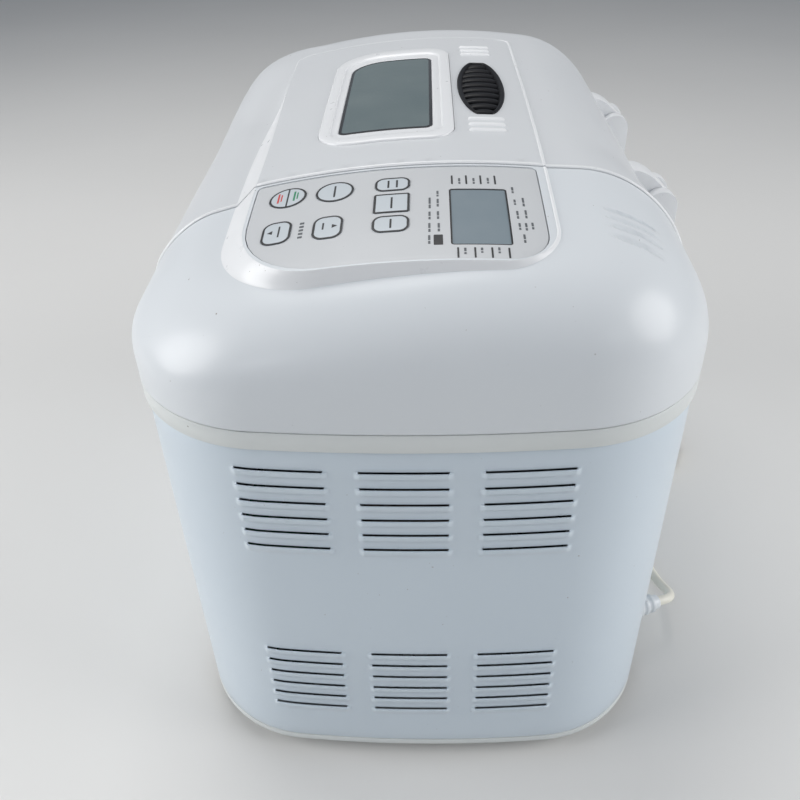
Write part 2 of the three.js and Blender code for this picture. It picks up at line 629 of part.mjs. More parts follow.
function breadPan() {
  const { bottom, top, wall, rim, length } = PAN;
  const low = bottom - 3.7;
  const ear = (x0) => block(x0, x0 + rim, -9, 9, top - 8, HANDLE.pivotZ + 6);
  const body = joined([
    prism(panRect(0), bottom, top),
    prism(panRect(rim), top - rim, top),
    ear(DRIVE_X + length / 2),
    ear(DRIVE_X - length / 2 - rim),
    turned(closed([[31, low], [36, low], [36, bottom + 0.5], [31, bottom + 0.5]]), DRIVE_X, 0),
  ]);
  const hollow = cut(body, [prism(panRect(-wall), bottom + wall, top + 1)]);
  const boss = rod(DRIVE_X, 0, 9, bottom, bottom + 10);
  return cut(hollow.add(boss), [rod(DRIVE_X, 0, 4.6, 0, 120),
    rodAlongX(0, HANDLE.pivotZ, HANDLE.wireR + 1, -FAR, FAR, 16)]);
}

function panHandle() {
  const { pivotZ, arm, wireR, offset, stub, bend } = HANDLE;
  const side = (sign) => [
    [DRIVE_X + sign * stub, 0, pivotZ],
    [DRIVE_X + sign * (offset - 2.6), 0, pivotZ],
    [DRIVE_X + sign * (offset - 0.5), -1, pivotZ],
    [DRIVE_X + sign * offset, -4.5, pivotZ],
    [DRIVE_X + sign * offset, bend - arm, pivotZ],
    [DRIVE_X + sign * (offset - bend * 0.3), bend * 0.3 - arm, pivotZ],
    [DRIVE_X + sign * (offset - bend), -arm, pivotZ],
  ];
  return wire([...side(1), ...side(-1).reverse()], wireR, 36);
}

function panShaft() {
  const bar = block(DRIVE_X - 2, DRIVE_X + 2, -9, 9, 54, 57.8);
  return bar.add(rod(DRIVE_X, 0, 4, 57, 92, 20));
}

function kneadingPaddle() {
  const fin = new THREE.Shape();
  fin.moveTo(0, 74);
  fin.lineTo(46, 74);
  fin.absarc(46, 79, 5, -QUARTER, 0);
  fin.lineTo(44, 92);
  fin.lineTo(20, 99);
  fin.lineTo(0, 100);
  fin.closePath();
  const geometry = new THREE.ExtrudeGeometry(fin, { depth: 5, bevelEnabled: false, curveSegments: 4 });
  geometry.rotateX(QUARTER);
  geometry.translate(DRIVE_X, 2.5, 0);
  const hub = turned([[0, 73], [10, 73], [8, 100], [0, 100]], DRIVE_X, 0, 24);
  return cut(hub.add(solidOf(geometry)), [rod(DRIVE_X, 0, 4.4, 60, 92.4, 20)]);
}

// ---------------------------------------------------------------- kneading drive
function chassisPlate() {
  const { x0, x1, halfWidth, legHalfWidth, bottom, top, sheet } = PLATE;
  const legs = [[x0, x0 + sheet], [x1 - sheet, x1]]
    .map(([a, b]) => block(a, b, -legHalfWidth, legHalfWidth, FOOT_TOP + 2.5 + GAP, top));
  const plate = joined([block(x0, x1, -halfWidth, halfWidth, bottom, top), ...legs]);
  return cut(plate, [rod(DRIVE_X, 0, 11.5, 0, 60), rod(MOTOR_X, 0, 7, 30, 60)]);
}

const bearingHousing = () =>
  turned(closed([[4.5, 33], [18, 33], [18, 39.7], [10.5, 39.7], [10.5, 47], [4.5, 47]]), DRIVE_X, 0, 20);

const driveShaft = () => rod(DRIVE_X, 0, 4, 16, 50, 20);

function driveDog() {
  const hub = rod(DRIVE_X, 0, 9, 47.5, 53);
  const prongs = [-6.5, 6.5].map((dx) => block(DRIVE_X + dx - 1.8, DRIVE_X + dx + 1.8, -2.5, 2.5, 52.5, 58));
  return cut(joined([hub, ...prongs]), [rod(DRIVE_X, 0, 4.3, 40, 50.3, 20)]);
}

function largePulley() {
  const groove = [[PULLEY_R, 21.4], [PULLEY_R, 30.6]];
  const rim = [[52, 20], [52, 21.4], ...groove, [52, 30.6], [52, 32], [45, 32]];
  const hub = [[12, 24], [12, 32], [4.3, 32]];
  return turned(closed([[4.3, 18], [12, 18], [45, 20], ...rim, ...hub]), DRIVE_X, 0, 28);
}

function smallPulley() {
  const groove = [[MOTOR_PULLEY_R, 21.4], [MOTOR_PULLEY_R, 30.6]];
  const profile = [[3.8, 19], [11, 19], [11, 21.4], ...groove, [11, 30.6], [11, 32], [3.8, 32]];
  return turned(closed(profile), MOTOR_X, 0, 20);
}

// Straight runs and two arcs: the outline of a belt at a distance beyond both pulleys.
function beltShape(distance) {
  const span = MOTOR_X - DRIVE_X;
  const [big, small] = [PULLEY_R + distance, MOTOR_PULLEY_R + distance];
  const lean = Math.acos((big - small) / span);
  const shape = new THREE.Shape();
  shape.absarc(MOTOR_X, 0, small, -lean, lean);
  shape.absarc(DRIVE_X, 0, big, lean, TURN - lean);
  shape.closePath();
  return shape;
}

const driveBelt = () => prism(beltShape(BELT.gap + BELT.thickness), BELT.bottom, BELT.top, 16)
  .subtract(prism(beltShape(BELT.gap), BELT.bottom - 1, BELT.top + 1, 16));

function motorBody() {
  const can = rod(MOTOR_X, 0, 30, PLATE.top + GAP, 112);
  const stack = block(MOTOR_X - 32, MOTOR_X + 32, -32, 32, 58, 92);
  return cut(can.add(stack), [rod(MOTOR_X, 0, 4, 30, 62, 20)]);
}

const motorShaft = () => rod(MOTOR_X, 0, 3.5, 17, 60, 20);
const motorCapacitor = () =>
  turned([[0, 42.4], [15, 42.4], [15, 92], [13, 94], [0, 94]], 108, 64, 24);

function powerBoard() {
  const board = block(90, 150, -88, -86.4, 50, 122);
  const transformer = block(100, 132, -86.6, -62, 56, 84);
  const relay = block(104, 112, -86.6, -74, 96, 112);
  const fuseHolder = block(124, 140, -86.6, -78, 94, 116);
  return joined([board, transformer, relay, fuseHolder]);
}

// ---------------------------------------------------------------- mains lead
function strainRelief() {
  const { x, y, z, length, turn, dip } = RELIEF;
  const rib = (at, radius) =>
    [[radius + 0.9, at], [radius + 0.9, at + 2], [radius, at + 2.6], [radius, at + 3.4]];
  const ribs = [5.2, 4.8, 4.4].flatMap((radius, i) => rib(6 + i * 4.4, radius));
  const profile = [[0, 0], [5.2, 0], ...ribs, [4, length - 1], [4, length], [0, length]];
  const boot = new THREE.LatheGeometry(profile.map(([r, h]) => new THREE.Vector2(r, h)), 12);
  boot.rotateX(-dip);
  boot.rotateZ(turn);
  boot.translate(x, y, z);
  const flange = new THREE.CylinderGeometry(9, 9, 2, 16);
  flange.translate(x - 1.8, HALF_DEPTH + GAP + 1, z - 0.4);
  return solidOf(boot).add(solidOf(flange));
}

const cordLead = () => wire(LEAD_ROUTE, CORD_R, 26, 10);

const cordCoil = () => turned(closed([
  [COIL.innerR, COIL.bottom], [COIL.outerR, COIL.bottom], [COIL.outerR, COIL.top], [COIL.innerR, COIL.top],
]), COIL.x, COIL.y, 32);

function cordTie() {
  const [low, high] = [1.2, COIL.top + 0.5];
  const [inner, outer] = [COIL.y + COIL.innerR - 0.6, COIL.y + COIL.outerR + 0.6];
  const strap = 1.2;
  const { x } = COIL;
  const solid = block(x - 3, x + 3, inner - strap, outer + strap, low - strap, high + strap);
  return cut(solid, [block(x - 5, x + 5, inner, outer, low, high)]);
}

// The plug lies along +X of its own group, its boot starting at the group's origin.
function plugGroup() {
  const { boot, length, width, height, blade, bladeSpacing } = PLUG;
  const group = new THREE.Group();
  const taper = new THREE.CylinderGeometry(6, 4, boot + 1, 16);
  taper.rotateZ(-QUARTER);
  taper.translate((boot + 1) / 2, 0, 0);
  const outline = padRect({ x: boot + length / 2, y: 0, length, width, radius: 5 });
  const grip = new THREE.ExtrudeGeometry(outline, { depth: height, bevelEnabled: false });
  grip.translate(0, 0, -height / 2);
  const face = boot + length;
  const places = [-bladeSpacing / 2, bladeSpacing / 2];
  const pockets = places.map((y) => block(face - 6, face + 1, y - 1.2, y + 1.2, -3.7, 3.7));
  group.add(meshOf('plug_body', cut(solidOf(taper).add(solidOf(grip)), pockets), CORD_PLASTIC));
  places.forEach((y, i) => {
    const pin = block(face - 5.5, face + blade, y - 0.75, y + 0.75, -3.2, 3.2);
    group.add(meshOf(`plug_blade_${i + 1}`, pin, BRASS));
  });
  group.position.set(PLUG.x, PLUG.y, PLUG.z);
  group.rotation.z = PLUG.turn;
  return group;
}

// ---------------------------------------------------------------- assembly
const machine = new THREE.Group();
machine.position.y = ROW_SHIFT_Y;

machine.add(meshOf('base_tray', baseTray(), WHITE_PLASTIC));
FOOT_PLACES.forEach((place, i) => {
  machine.add(meshOf(`foot_${i + 1}`, footPad(place), DARK_RUBBER));
  machine.add(meshOf(`foot_screw_${i + 1}`, footScrew(place), STEEL));
});
machine.add(meshOf('body_wrap', bodyWrap(), PAINTED_STEEL));
machine.add(meshOf('trim_band', trimBand(), BAND_PLASTIC));
machine.add(meshOf('top_cover', topCover(), WHITE_PLASTIC));
machine.add(meshOf('panel_overlay', panelOverlay(), OVERLAY_SHEET_PAINT));
KEYS.forEach((key) => machine.add(meshOf(key.name, keyPad(key), KEY_RUBBER)));
machine.add(meshOf('display_lens', displayLens(), SMOKED_GLASS));
machine.add(displayModule());
machine.add(controlBoard());

machine.add(meshOf('lid_shell', lidShell(), WHITE_PLASTIC));
machine.add(meshOf('lid_liner', lidLiner(), ALUMINIUM));
machine.add(meshOf('window_bezel', windowBezel(), WHITE_PLASTIC));
machine.add(meshOf('window_glass', windowGlass(), SMOKED_GLASS));
machine.add(meshOf('inner_glass', innerGlass(), SMOKED_GLASS));
machine.add(meshOf('vent_grille', ventGrille(), DARK_GLOSS));
HINGE_PLACES.forEach((x, i) => {
  machine.add(meshOf(`hinge_block_${i + 1}`, hingeBlock(x), WHITE_PLASTIC));
  machine.add(meshOf(`hinge_pin_${i + 1}`, hingePin(x), STEEL));
});

machine.add(meshOf('oven_chamber', ovenChamber(), ALUMINIUM));
machine.add(meshOf('heating_element', heatingElement(), STEEL));
machine.add(meshOf('temperature_sensor', temperatureSensor(), STEEL));
machine.add(meshOf('pan_seat', panSeat(), ALUMINIUM));
machine.add(meshOf('bread_pan', breadPan(), NON_STICK));
machine.add(meshOf('pan_handle', panHandle(), STEEL));
machine.add(meshOf('pan_shaft', panShaft(), STEEL));
machine.add(meshOf('kneading_paddle', kneadingPaddle(), NON_STICK));

machine.add(meshOf('chassis_plate', chassisPlate(), STEEL));
machine.add(meshOf('bearing_housing', bearingHousing(), ALUMINIUM));
machine.add(meshOf('drive_shaft', driveShaft(), STEEL));
machine.add(meshOf('drive_dog', driveDog(), STEEL));
machine.add(meshOf('large_pulley', largePulley(), DARK_GLOSS));
machine.add(meshOf('small_pulley', smallPulley(), DARK_GLOSS));
machine.add(meshOf('drive_belt', driveBelt(), DARK_RUBBER));
machine.add(meshOf('motor_body', motorBody(), COPPER));
machine.add(meshOf('motor_shaft', motorShaft(), STEEL));
machine.add(meshOf('motor_capacitor', motorCapacitor(), DARK_GLOSS));
machine.add(meshOf('power_board', powerBoard(), BOARD_GREEN));

machine.add(meshOf('strain_relief', strainRelief(), CORD_PLASTIC));
machine.add(meshOf('cord_lead', cordLead(), CORD_PLASTIC));
machine.add(meshOf('cord_coil', cordCoil(), CORD_PLASTIC));
machine.add(meshOf('cord_tie', cordTie(), DARK_RUBBER));
machine.add(plugGroup());

const root = new THREE.Group();
root.add(machine);
export default root;
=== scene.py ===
"""Visual model of a bread machine with a horizontal loaf pan.

Shapes are drawn in millimetres, with +X at the control panel end, -Y at the front and +Y at
the hinged back; placed() turns them into metres of the row frame.
"""

import math

import bmesh
import bpy
import numpy as np
from mathutils import Matrix, Vector
from mathutils.geometry import delaunay_2d_cdt


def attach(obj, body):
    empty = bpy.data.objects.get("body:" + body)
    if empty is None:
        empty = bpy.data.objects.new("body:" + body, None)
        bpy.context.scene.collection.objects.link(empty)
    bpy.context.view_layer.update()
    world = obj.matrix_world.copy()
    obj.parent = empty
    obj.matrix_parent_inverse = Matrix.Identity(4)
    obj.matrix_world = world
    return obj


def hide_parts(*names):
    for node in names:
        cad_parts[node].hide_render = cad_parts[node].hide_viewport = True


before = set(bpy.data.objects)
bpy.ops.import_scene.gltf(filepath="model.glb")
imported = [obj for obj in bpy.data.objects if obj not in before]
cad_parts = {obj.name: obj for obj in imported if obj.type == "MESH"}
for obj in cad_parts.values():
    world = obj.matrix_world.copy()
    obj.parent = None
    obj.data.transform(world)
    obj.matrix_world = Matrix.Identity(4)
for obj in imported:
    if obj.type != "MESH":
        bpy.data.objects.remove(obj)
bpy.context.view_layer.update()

# ---------------------------------------------------------------- dimensions, millimetres
MM = 0.001
ROW_SHIFT_Y = -4.25
WELD = 1e-6

HALF_DEPTH, CORNER_R, END_BOW_R = 121.0, 62.0, 726.0
END_X = 186.0
BOW_CENTRE_X = END_X - END_BOW_R
CORNER_Y = HALF_DEPTH - CORNER_R
CORNER_X = BOW_CENTRE_X + math.sqrt((END_BOW_R - CORNER_R) ** 2 - CORNER_Y**2)
BOW_ANGLE = math.atan2(CORNER_Y, CORNER_X - BOW_CENTRE_X)
BOW_HALF = END_BOW_R * BOW_ANGLE
QUARTER = math.pi / 2
TURN = 2 * math.pi
PROUD = 1.5

BASE_BOTTOM, BASE_LIP_TOP, BASE_WALL_TOP = 8.0, 12.0, 28.0
WRAP_BOTTOM, WRAP_TOP = 12.3, 208.0
BAND_BOTTOM, BAND_TOP = 208.3, 217.3
COVER_BOTTOM, DECK_TOP, LID_BOTTOM = 217.6, 226.0, 226.5
NOSE_X, LID_X = 88.5, 88.0

CROWN_TOP, CROWN_DROP, CROWN_FADE = 294.2, 25.0, 82.0
PANEL_CURVE, PANEL_CENTRE_Y = 0.00125, 15.0
SHELL_DROP, SHELL_CURVE, SHELL_CENTRE_Y = 2.2, 0.0011, 40.0
BLEND_FROM, BLEND_TO = 200.0, 300.0
SHOULDER_POWER = 3.0
SHOULDER = {"near": (44, 221), "far": (58, 228), "front": (33, 232), "back": (52, 229)}
LID_BACK_INSET = 5.0
SPINE_Y, SPINE_REACH = 10.0, 100.0

# x0, x1, y0, y1, and the radii of the front-near, back-near and far corners; an eighth number is
# the front-far corner's own radius
PANEL = (-114, 159.2, -75, 55, 38, 22, 10)
OVERLAY = (89.7, 157.7, -68.6, 51, 34, 16, 3)
BEZEL = (-86, 61, -46.5, 17.5, 18, 12, 14, 26)
GLASS = (-66, 48, -37, 7.5, 4, 4, 5, 18)
OVERLAY_TOP = -0.2
DISPLAY = (129.5, 25.2, 39, 22.7, 1)
VENT_X, VENT_Y, VENT_HALF, VENT_ROUND, VENT_WIDE = -11, 32.8, 42, 44.6, 11.8
RIB_Y, RIB_WIDTH, RIB_PLACES = 33, 17, (37.4, 44.5, 51.5, -73.5, -81.5, -89.5)
KEYS = {
    "start_stop": (104.5, -53.5, 16, 16, 7.9),
    "pause": (105.5, -33.5, 16, 16, 7.9),
    "loaf_size": (104.2, -9.5, 11, 14.5, 4),
    "select": (119.3, -9.5, 14.4, 14.5, 1),
    "crust": (134.3, -9.5, 11.3, 14.5, 4),
    "timer_down": (131, -55, 15.6, 12, 4.5),
    "timer_up": (132.4, -34.3, 15.6, 12, 4.5),
}

LOUVRE_HALF, LOUVRE_SLIT_HALF = 20.25, 18.3
LOUVRE_RISE, LOUVRE_DROP = 1.45, 4.6
LOUVRE_COLUMNS = (-55.75, -5.25, 45.25)
LOUVRE_TOPS, LOUVRE_ROWS, LOUVRE_PITCH = (197.2, 83.2), 6, 8.6
SLIT_TOP, SLIT_BOTTOM = 0.8, 0.35

HINGE_Y, HINGE_Z, KNUCKLE_R, HINGE_BACK_Y = 123.0, 243.0, 8.0, 131.0
HINGE_PLACES, HINGE_WIDTH, HINGE_GAP = (21, -104), 28.0, 15.0

DRIVE_X = -40.0
CORD_R = 2.75
CORD_FLOOR_Z = CORD_R + 0.05
COIL = (-70.0, 160.0)
COIL_RADII = (28.15, 33.95)
COIL_HEIGHTS = (4.25, 9.85)
RELIEF = {"x": 119.0, "y": 117.0, "z": 35.6, "length": 21.0, "turn": 0.392, "dip": 0.09}
LEAD_ROUTE = [
    (110.85, 136.6, 33.68), (109, 140.8, 32.9), (105.2, 144.9, 30.4), (99, 147.6, 26),
    (91.5, 148.9, 20.4), (83, 149.2, 14.6), (73.5, 149, 9.2), (63, 148.3, 5.2),
    (52, 147, 3.2), (40, 144.9, CORD_FLOOR_Z), (26, 142, CORD_FLOOR_Z),
    (12, 138.9, CORD_FLOOR_Z), (-3, 135.4, CORD_FLOOR_Z), (-17, 131.9, CORD_FLOOR_Z),
    (-29, 129, CORD_FLOOR_Z), (-40, 127, CORD_FLOOR_Z), (-50, 126.2, CORD_FLOOR_Z),
]
PLUG = {"x": -103.4, "y": 136.2, "z": 7.7, "turn": 2.793, "boot": 14.0, "length": 28.0}

# ---------------------------------------------------------------- camera
CAMERA_PLACE = (0.43081, 0.00059, 0.41072)
CAMERA_RIGHT = Vector((-0.0244, 0.9994, -0.0260)).normalized()
CAMERA_UP = Vector((-0.5870, 0.0068, 0.8097)).normalized()
CAMERA_LENS = 36.9


def make_camera():
    back = CAMERA_RIGHT.cross(CAMERA_UP).normalized()
    up = back.cross(CAMERA_RIGHT)
    data = bpy.data.cameras.new("camera")
    data.lens, data.sensor_width = CAMERA_LENS, 36
    data.clip_start, data.clip_end = 0.01, 20
    camera = bpy.data.objects.new("camera", data)
    turn = Matrix((CAMERA_RIGHT, up, back)).transposed()
    camera.matrix_world = Matrix.Translation(CAMERA_PLACE) @ turn.to_4x4()
    bpy.context.scene.collection.objects.link(camera)
    bpy.context.scene.camera = camera


make_camera()


# ---------------------------------------------------------------- materials
TONE_RANGE, WEAR_RANGE = (0.2, 0.8), (0.15, 0.85)
SPECK_EDGE, COAT_ROUGHNESS = 0.03, 0.12


def node(tree, kind, **values):
    made = tree.nodes.new(kind)
    for key, value in values.items():
        if key in made.inputs:
            made.inputs[key].default_value = value
        else:
            setattr(made, key, value)
    return made


def noise(tree, source, scale, detail=3.0, stretch=None):
    vector = source.outputs["Object"]
    if stretch:
        mapping = node(tree, "ShaderNodeMapping")
        mapping.inputs["Scale"].default_value = stretch
        tree.links.new(vector, mapping.inputs["Vector"])
        vector = mapping.outputs["Vector"]
    made = node(tree, "ShaderNodeTexNoise", Scale=scale, Detail=detail)
    tree.links.new(vector, made.inputs["Vector"])
    return made.outputs["Fac"]


def remap(tree, value, low, high, to_low, to_high):
    made = node(tree, "ShaderNodeMapRange")
    for name, number in zip(("From Min", "From Max", "To Min", "To Max"), (low, high, to_low, to_high)):
        made.inputs[name].default_value = number
    tree.links.new(value, made.inputs["Value"])
    return made.outputs["Result"]


def blended(tree, factor, first, second):
    """Mixes two colours, each a tuple or an output socket."""
    mix = node(tree, "ShaderNodeMix", data_type="RGBA")
    tree.links.new(factor, mix.inputs["Factor"])
    sockets = [s for s in mix.inputs if s.type == "RGBA"]
    for socket, value in zip(sockets, (first, second)):
        if isinstance(value, tuple):
            socket.default_value = (*value, 1)
        else:
            tree.links.new(value, socket)
    return next(s for s in mix.outputs if s.type == "RGBA")


def material(name, color, shade, roughness=0.35, spread=0.08, metallic=0.0, cloud=18.0, grain=None,
             specks=None, coat=0.0, specular=0.5, stretch=None):
    """A procedural finish. shade is the colour's other end and cloud the scale of its drift; grain is
    (scale, strength, depth in mm) and specks are (scale, threshold, colour)."""
    made = bpy.data.materials.new(name)
    made.use_nodes = True
    tree = made.node_tree
    shader = tree.nodes["Principled BSDF"]
    source = node(tree, "ShaderNodeTexCoord")
    tone = remap(tree, noise(tree, source, cloud, 4, stretch), *TONE_RANGE, 0, 1)
    base = blended(tree, tone, color, shade)
    if specks:
        scale, threshold, dirt = specks
        spots = remap(tree, noise(tree, source, scale, 2), threshold, threshold + SPECK_EDGE, 0, 1)
        base = blended(tree, spots, base, dirt)
    tree.links.new(base, shader.inputs["Base Color"])
    wear = noise(tree, source, cloud * 4, 5, stretch)
    rough = remap(tree, wear, *WEAR_RANGE, roughness - spread, roughness + spread)
    tree.links.new(rough, shader.inputs["Roughness"])
    shader.inputs["Metallic"].default_value = metallic
    shader.inputs["Specular IOR Level"].default_value = specular
    shader.inputs["Coat Weight"].default_value = coat
    shader.inputs["Coat Roughness"].default_value = COAT_ROUGHNESS
    if grain:
        scale, strength, depth = grain
        bump = node(tree, "ShaderNodeBump", Strength=strength, Distance=depth * MM)
        tree.links.new(noise(tree, source, scale, 2, stretch), bump.inputs["Height"])
        tree.links.new(bump.outputs["Normal"], shader.inputs["Normal"])
    return made


DIRT, LIGHT_DIRT = (0.16, 0.13, 0.10), (0.2, 0.2, 0.2)
WHITE = material("moulded_white", (0.735, 0.765, 0.79), (0.70, 0.735, 0.765), 0.34, 0.04, cloud=9,
                 grain=(300, 0.03, 0.2), specks=(520, 0.775, DIRT), coat=0.08, specular=0.4)
LID_WHITE = material("moulded_white_top", (0.72, 0.735, 0.75), (0.68, 0.70, 0.72), 0.36, 0.06, cloud=9,
                     grain=(900, 0.1, 0.2), specks=(520, 0.765, DIRT), coat=0.1)
# A brighter, lit copy of the moulded white: painted highlight on the lid lip, the raised panel's bevel, the
# window bezel, the grip ribs and the hinges.
LIT_WHITE = material("painted_highlight_white", (0.86, 0.87, 0.88), (0.83, 0.84, 0.855), 0.3, 0.05, cloud=40,
                     specks=(700, 0.76, DIRT))
SHEET = material("painted_sheet", (0.635, 0.715, 0.78), (0.615, 0.695, 0.765), 0.34, 0.05, cloud=12,
                 grain=(300, 0.07, 0.2), specks=(600, 0.77, (0.25, 0.22, 0.2)), coat=0.2)
BAND = material("band_white", (0.72, 0.745, 0.74), (0.68, 0.71, 0.70), 0.42, 0.08, cloud=20,
                grain=(800, 0.2, 0.2), specks=(300, 0.76, (0.30, 0.29, 0.27)))
OVERLAY_PAINT = material("panel_sheet", (0.615, 0.63, 0.645), (0.59, 0.605, 0.62), 0.42, 0.05,
                         cloud=30, grain=(1400, 0.15, 0.12), specks=(700, 0.79, DIRT))
KEY_PAINT = material("key_film", (0.60, 0.645, 0.68), (0.57, 0.62, 0.655), 0.36, 0.05, cloud=60,
                     grain=(1400, 0.15, 0.12))
INK = material("black_ink", (0.015, 0.016, 0.018), (0.03, 0.03, 0.032), 0.45, 0.06, cloud=200)
GREY_INK = material("grey_ink", (0.09, 0.10, 0.11), (0.13, 0.14, 0.15), 0.5, 0.06, cloud=300)
GREEN_INK = material("green_ink", (0.02, 0.22, 0.10), (0.03, 0.27, 0.13), 0.5, 0.06, cloud=200)
RED_INK = material("red_ink", (0.62, 0.05, 0.05), (0.55, 0.07, 0.06), 0.5, 0.06, cloud=200)
DISPLAY_GLASS = material("display_glass", (0.20, 0.255, 0.29), (0.28, 0.33, 0.36), 0.16, 0.04,
                         cloud=26, coat=0.6, specks=(900, 0.79, (0.5, 0.52, 0.54)))
WINDOW = material("smoked_window", (0.115, 0.155, 0.165), (0.165, 0.205, 0.21), 0.36, 0.07, cloud=22,
                  grain=(1500, 0.3, 0.15), specks=(700, 0.74, (0.3, 0.33, 0.33)))
GLOSS_BLACK = material("gloss_black", (0.012, 0.012, 0.014), (0.03, 0.03, 0.033), 0.16, 0.05,
                       cloud=60, coat=0.5, specks=(700, 0.78, (0.25, 0.25, 0.25)))
VENT_BLACK = material("vent_black", (0.008, 0.008, 0.010), (0.012, 0.012, 0.014), 0.42, 0.06, cloud=90,
                      specks=(800, 0.78, LIGHT_DIRT), specular=0.2)
RUBBER = material("rubber", (0.022, 0.022, 0.023), (0.04, 0.04, 0.04), 0.75, 0.1, cloud=80,
                  grain=(900, 0.3, 0.3))
STEEL = material("steel", (0.58, 0.585, 0.59), (0.48, 0.485, 0.49), 0.28, 0.1, 1.0, cloud=40,
                 grain=(500, 0.12, 0.2), stretch=(1, 1, 4))
ALUMINIUM = material("aluminium", (0.66, 0.665, 0.67), (0.58, 0.58, 0.585), 0.38, 0.1, 1.0, cloud=25,
                     grain=(350, 0.15, 0.3))
NON_STICK = material("non_stick", (0.045, 0.046, 0.05), (0.075, 0.075, 0.08), 0.42, 0.1, 0.2,
                     cloud=60, grain=(1100, 0.25, 0.2), specks=(800, 0.74, (0.2, 0.2, 0.21)))
BOARD = material("circuit_board", (0.02, 0.13, 0.06), (0.03, 0.18, 0.08), 0.45, 0.1, cloud=150)
MOTOR_IRON = material("motor_iron", (0.30, 0.16, 0.09), (0.22, 0.20, 0.19), 0.45, 0.12, 0.7,
                      cloud=90, stretch=(1, 1, 8))
CORD = material("cord_plastic", (0.84, 0.82, 0.73), (0.79, 0.765, 0.67), 0.42, 0.08, cloud=60,
                grain=(700, 0.12, 0.2), specks=(500, 0.77, (0.4, 0.36, 0.3)))
BRASS = material("brass", (0.70, 0.52, 0.24), (0.60, 0.44, 0.2), 0.3, 0.1, 1.0, cloud=90,
                 stretch=(4, 1, 1))
# Dark brown, for the hinge pins that show in the gaps between the hinges' ears and arms.
GAP_BROWN = material("hinge_gap_brown", (0.10, 0.065, 0.04), (0.17, 0.12, 0.08), 0.9, 0.05, cloud=400)


# ---------------------------------------------------------------- meshes
def placed(point):
    return Vector((point[0] * MM, (point[1] + ROW_SHIFT_Y) * MM, point[2] * MM))


class Surface:
    """Points and faces of one piece, in millimetres."""

    def __init__(self):
        self.points, self.faces = [], []

    def add(self, points):
        start = len(self.points)
        self.points.extend(points)
        return range(start, len(self.points))

    def rows(self, rows, closed=True, skip=None):
        """Skins rows of equally many points; closed joins each row's ends."""
        index = [self.add(row) for row in rows]
        count = len(rows[0])
        for k in range(len(rows) - 1):
            for i in range(count if closed else count - 1):
                j = (i + 1) % count
                if skip is None or not skip(k, i):
                    self.faces.append((index[k][i], index[k][j], index[k + 1][j], index[k + 1][i]))
        return self

    def cap(self, row):
        """Closes a row with one flat face."""
        self.faces.append(tuple(self.add(row)))

    def patch(self, outline, lift, holes=(), spacing=5.0, extra=()):
        """Fills a flat outline, less its holes, with triangles; lift maps a flat point to space."""
        loops = [outline, *holes]
        arrays = [np.array(loop, float) for loop in loops]
        verts, edges = [], []

        def inside(p):
            return within(p, arrays[0]) and not any(within(p, a) for a in arrays[1:])
        for loop in loops:
            start = len(verts)
            verts += [Vector(p) for p in loop]
            edges += [(start + i, start + (i + 1) % len(loop)) for i in range(len(loop))]
        low = np.min(np.array(outline), axis=0)
        high = np.max(np.array(outline), axis=0)
        grid = [
            (x, y)
            for x in np.arange(low[0] + spacing / 2, high[0], spacing)
            for y in np.arange(low[1] + spacing / 2, high[1], spacing)
        ]
        for points, margin in ((grid, spacing * 0.3), (extra, 0.05)):
            for p in points:
                if inside(p) and min(edge_distance(p, a) for a in arrays) > margin:
                    verts.append(Vector(p))
        out, _, faces, *_ = delaunay_2d_cdt(verts, edges, [], 0, 1e-5)
        index = self.add([lift(v.x, v.y) for v in out])
        for face in faces:
            centre = sum((out[i] for i in face), Vector((0, 0))) / len(face)
            if inside(centre):
                self.faces.append(tuple(index[i] for i in face))
        return self


def within(p, loop):
    x, y = loop[:, 0], loop[:, 1]
    x2, y2 = np.roll(x, -1), np.roll(y, -1)
    crosses = (y > p[1]) != (y2 > p[1])
    with np.errstate(divide="ignore", invalid="ignore"):
        at = (x2 - x) * (p[1] - y) / (y2 - y) + x
    return bool(np.count_nonzero(crosses & (p[0] < at)) % 2)


def edge_distance(p, loop):
    a, b = loop, np.roll(loop, -1, axis=0)
    span = b - a
    share = np.einsum("ij,ij->i", np.array(p) - a, span) / np.maximum((span**2).sum(1), 1e-12)
    nearest = a + span * np.clip(share, 0, 1)[:, None]
    return float(np.sqrt(((nearest - np.array(p)) ** 2).sum(1)).min())


def build(surface, name, finish, body, replaces=(), thickness=0.0, bevel=0.0,
          away=None, sharp=34.0, segments=2):
    """Makes the piece. thickness adds a wall inwards; away is a point that open faces turn from."""
    mesh = bpy.data.meshes.new(name)
    bm = bmesh.new()
    verts = [bm.verts.new(placed(p)) for p in surface.points]
    for face in surface.faces:
        corners = list(dict.fromkeys(face))
        if len(corners) > 2:
            try:
                bm.faces.new([verts[i] for i in corners])
            except ValueError:
                continue
    bmesh.ops.remove_doubles(bm, verts=bm.verts, dist=WELD)
    bmesh.ops.dissolve_degenerate(bm, dist=WELD, edges=bm.edges)
    bmesh.ops.recalc_face_normals(bm, faces=bm.faces)
    if away is not None:
        centre = placed(away)
        facing = sum(f.normal.dot(f.calc_center_median() - centre) * f.calc_area() for f in bm.faces)
        if facing < 0:
            bmesh.ops.reverse_faces(bm, faces=bm.faces)
    bm.to_mesh(mesh)
    bm.free()
    piece = bpy.data.objects.new(name, mesh)
    bpy.context.scene.collection.objects.link(piece)
    if thickness:
        wall = piece.modifiers.new("wall", "SOLIDIFY")
        wall.thickness, wall.offset = thickness * MM, -1
    if bevel:
        edge = piece.modifiers.new("edge", "BEVEL")
        edge.width, edge.segments = bevel * MM, segments
        edge.limit_method, edge.angle_limit = "ANGLE", math.radians(40)
    settle(piece, sharp)
    piece.data.materials.append(finish)
    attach(piece, body)
    if replaces:
        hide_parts(*replaces)
    return piece


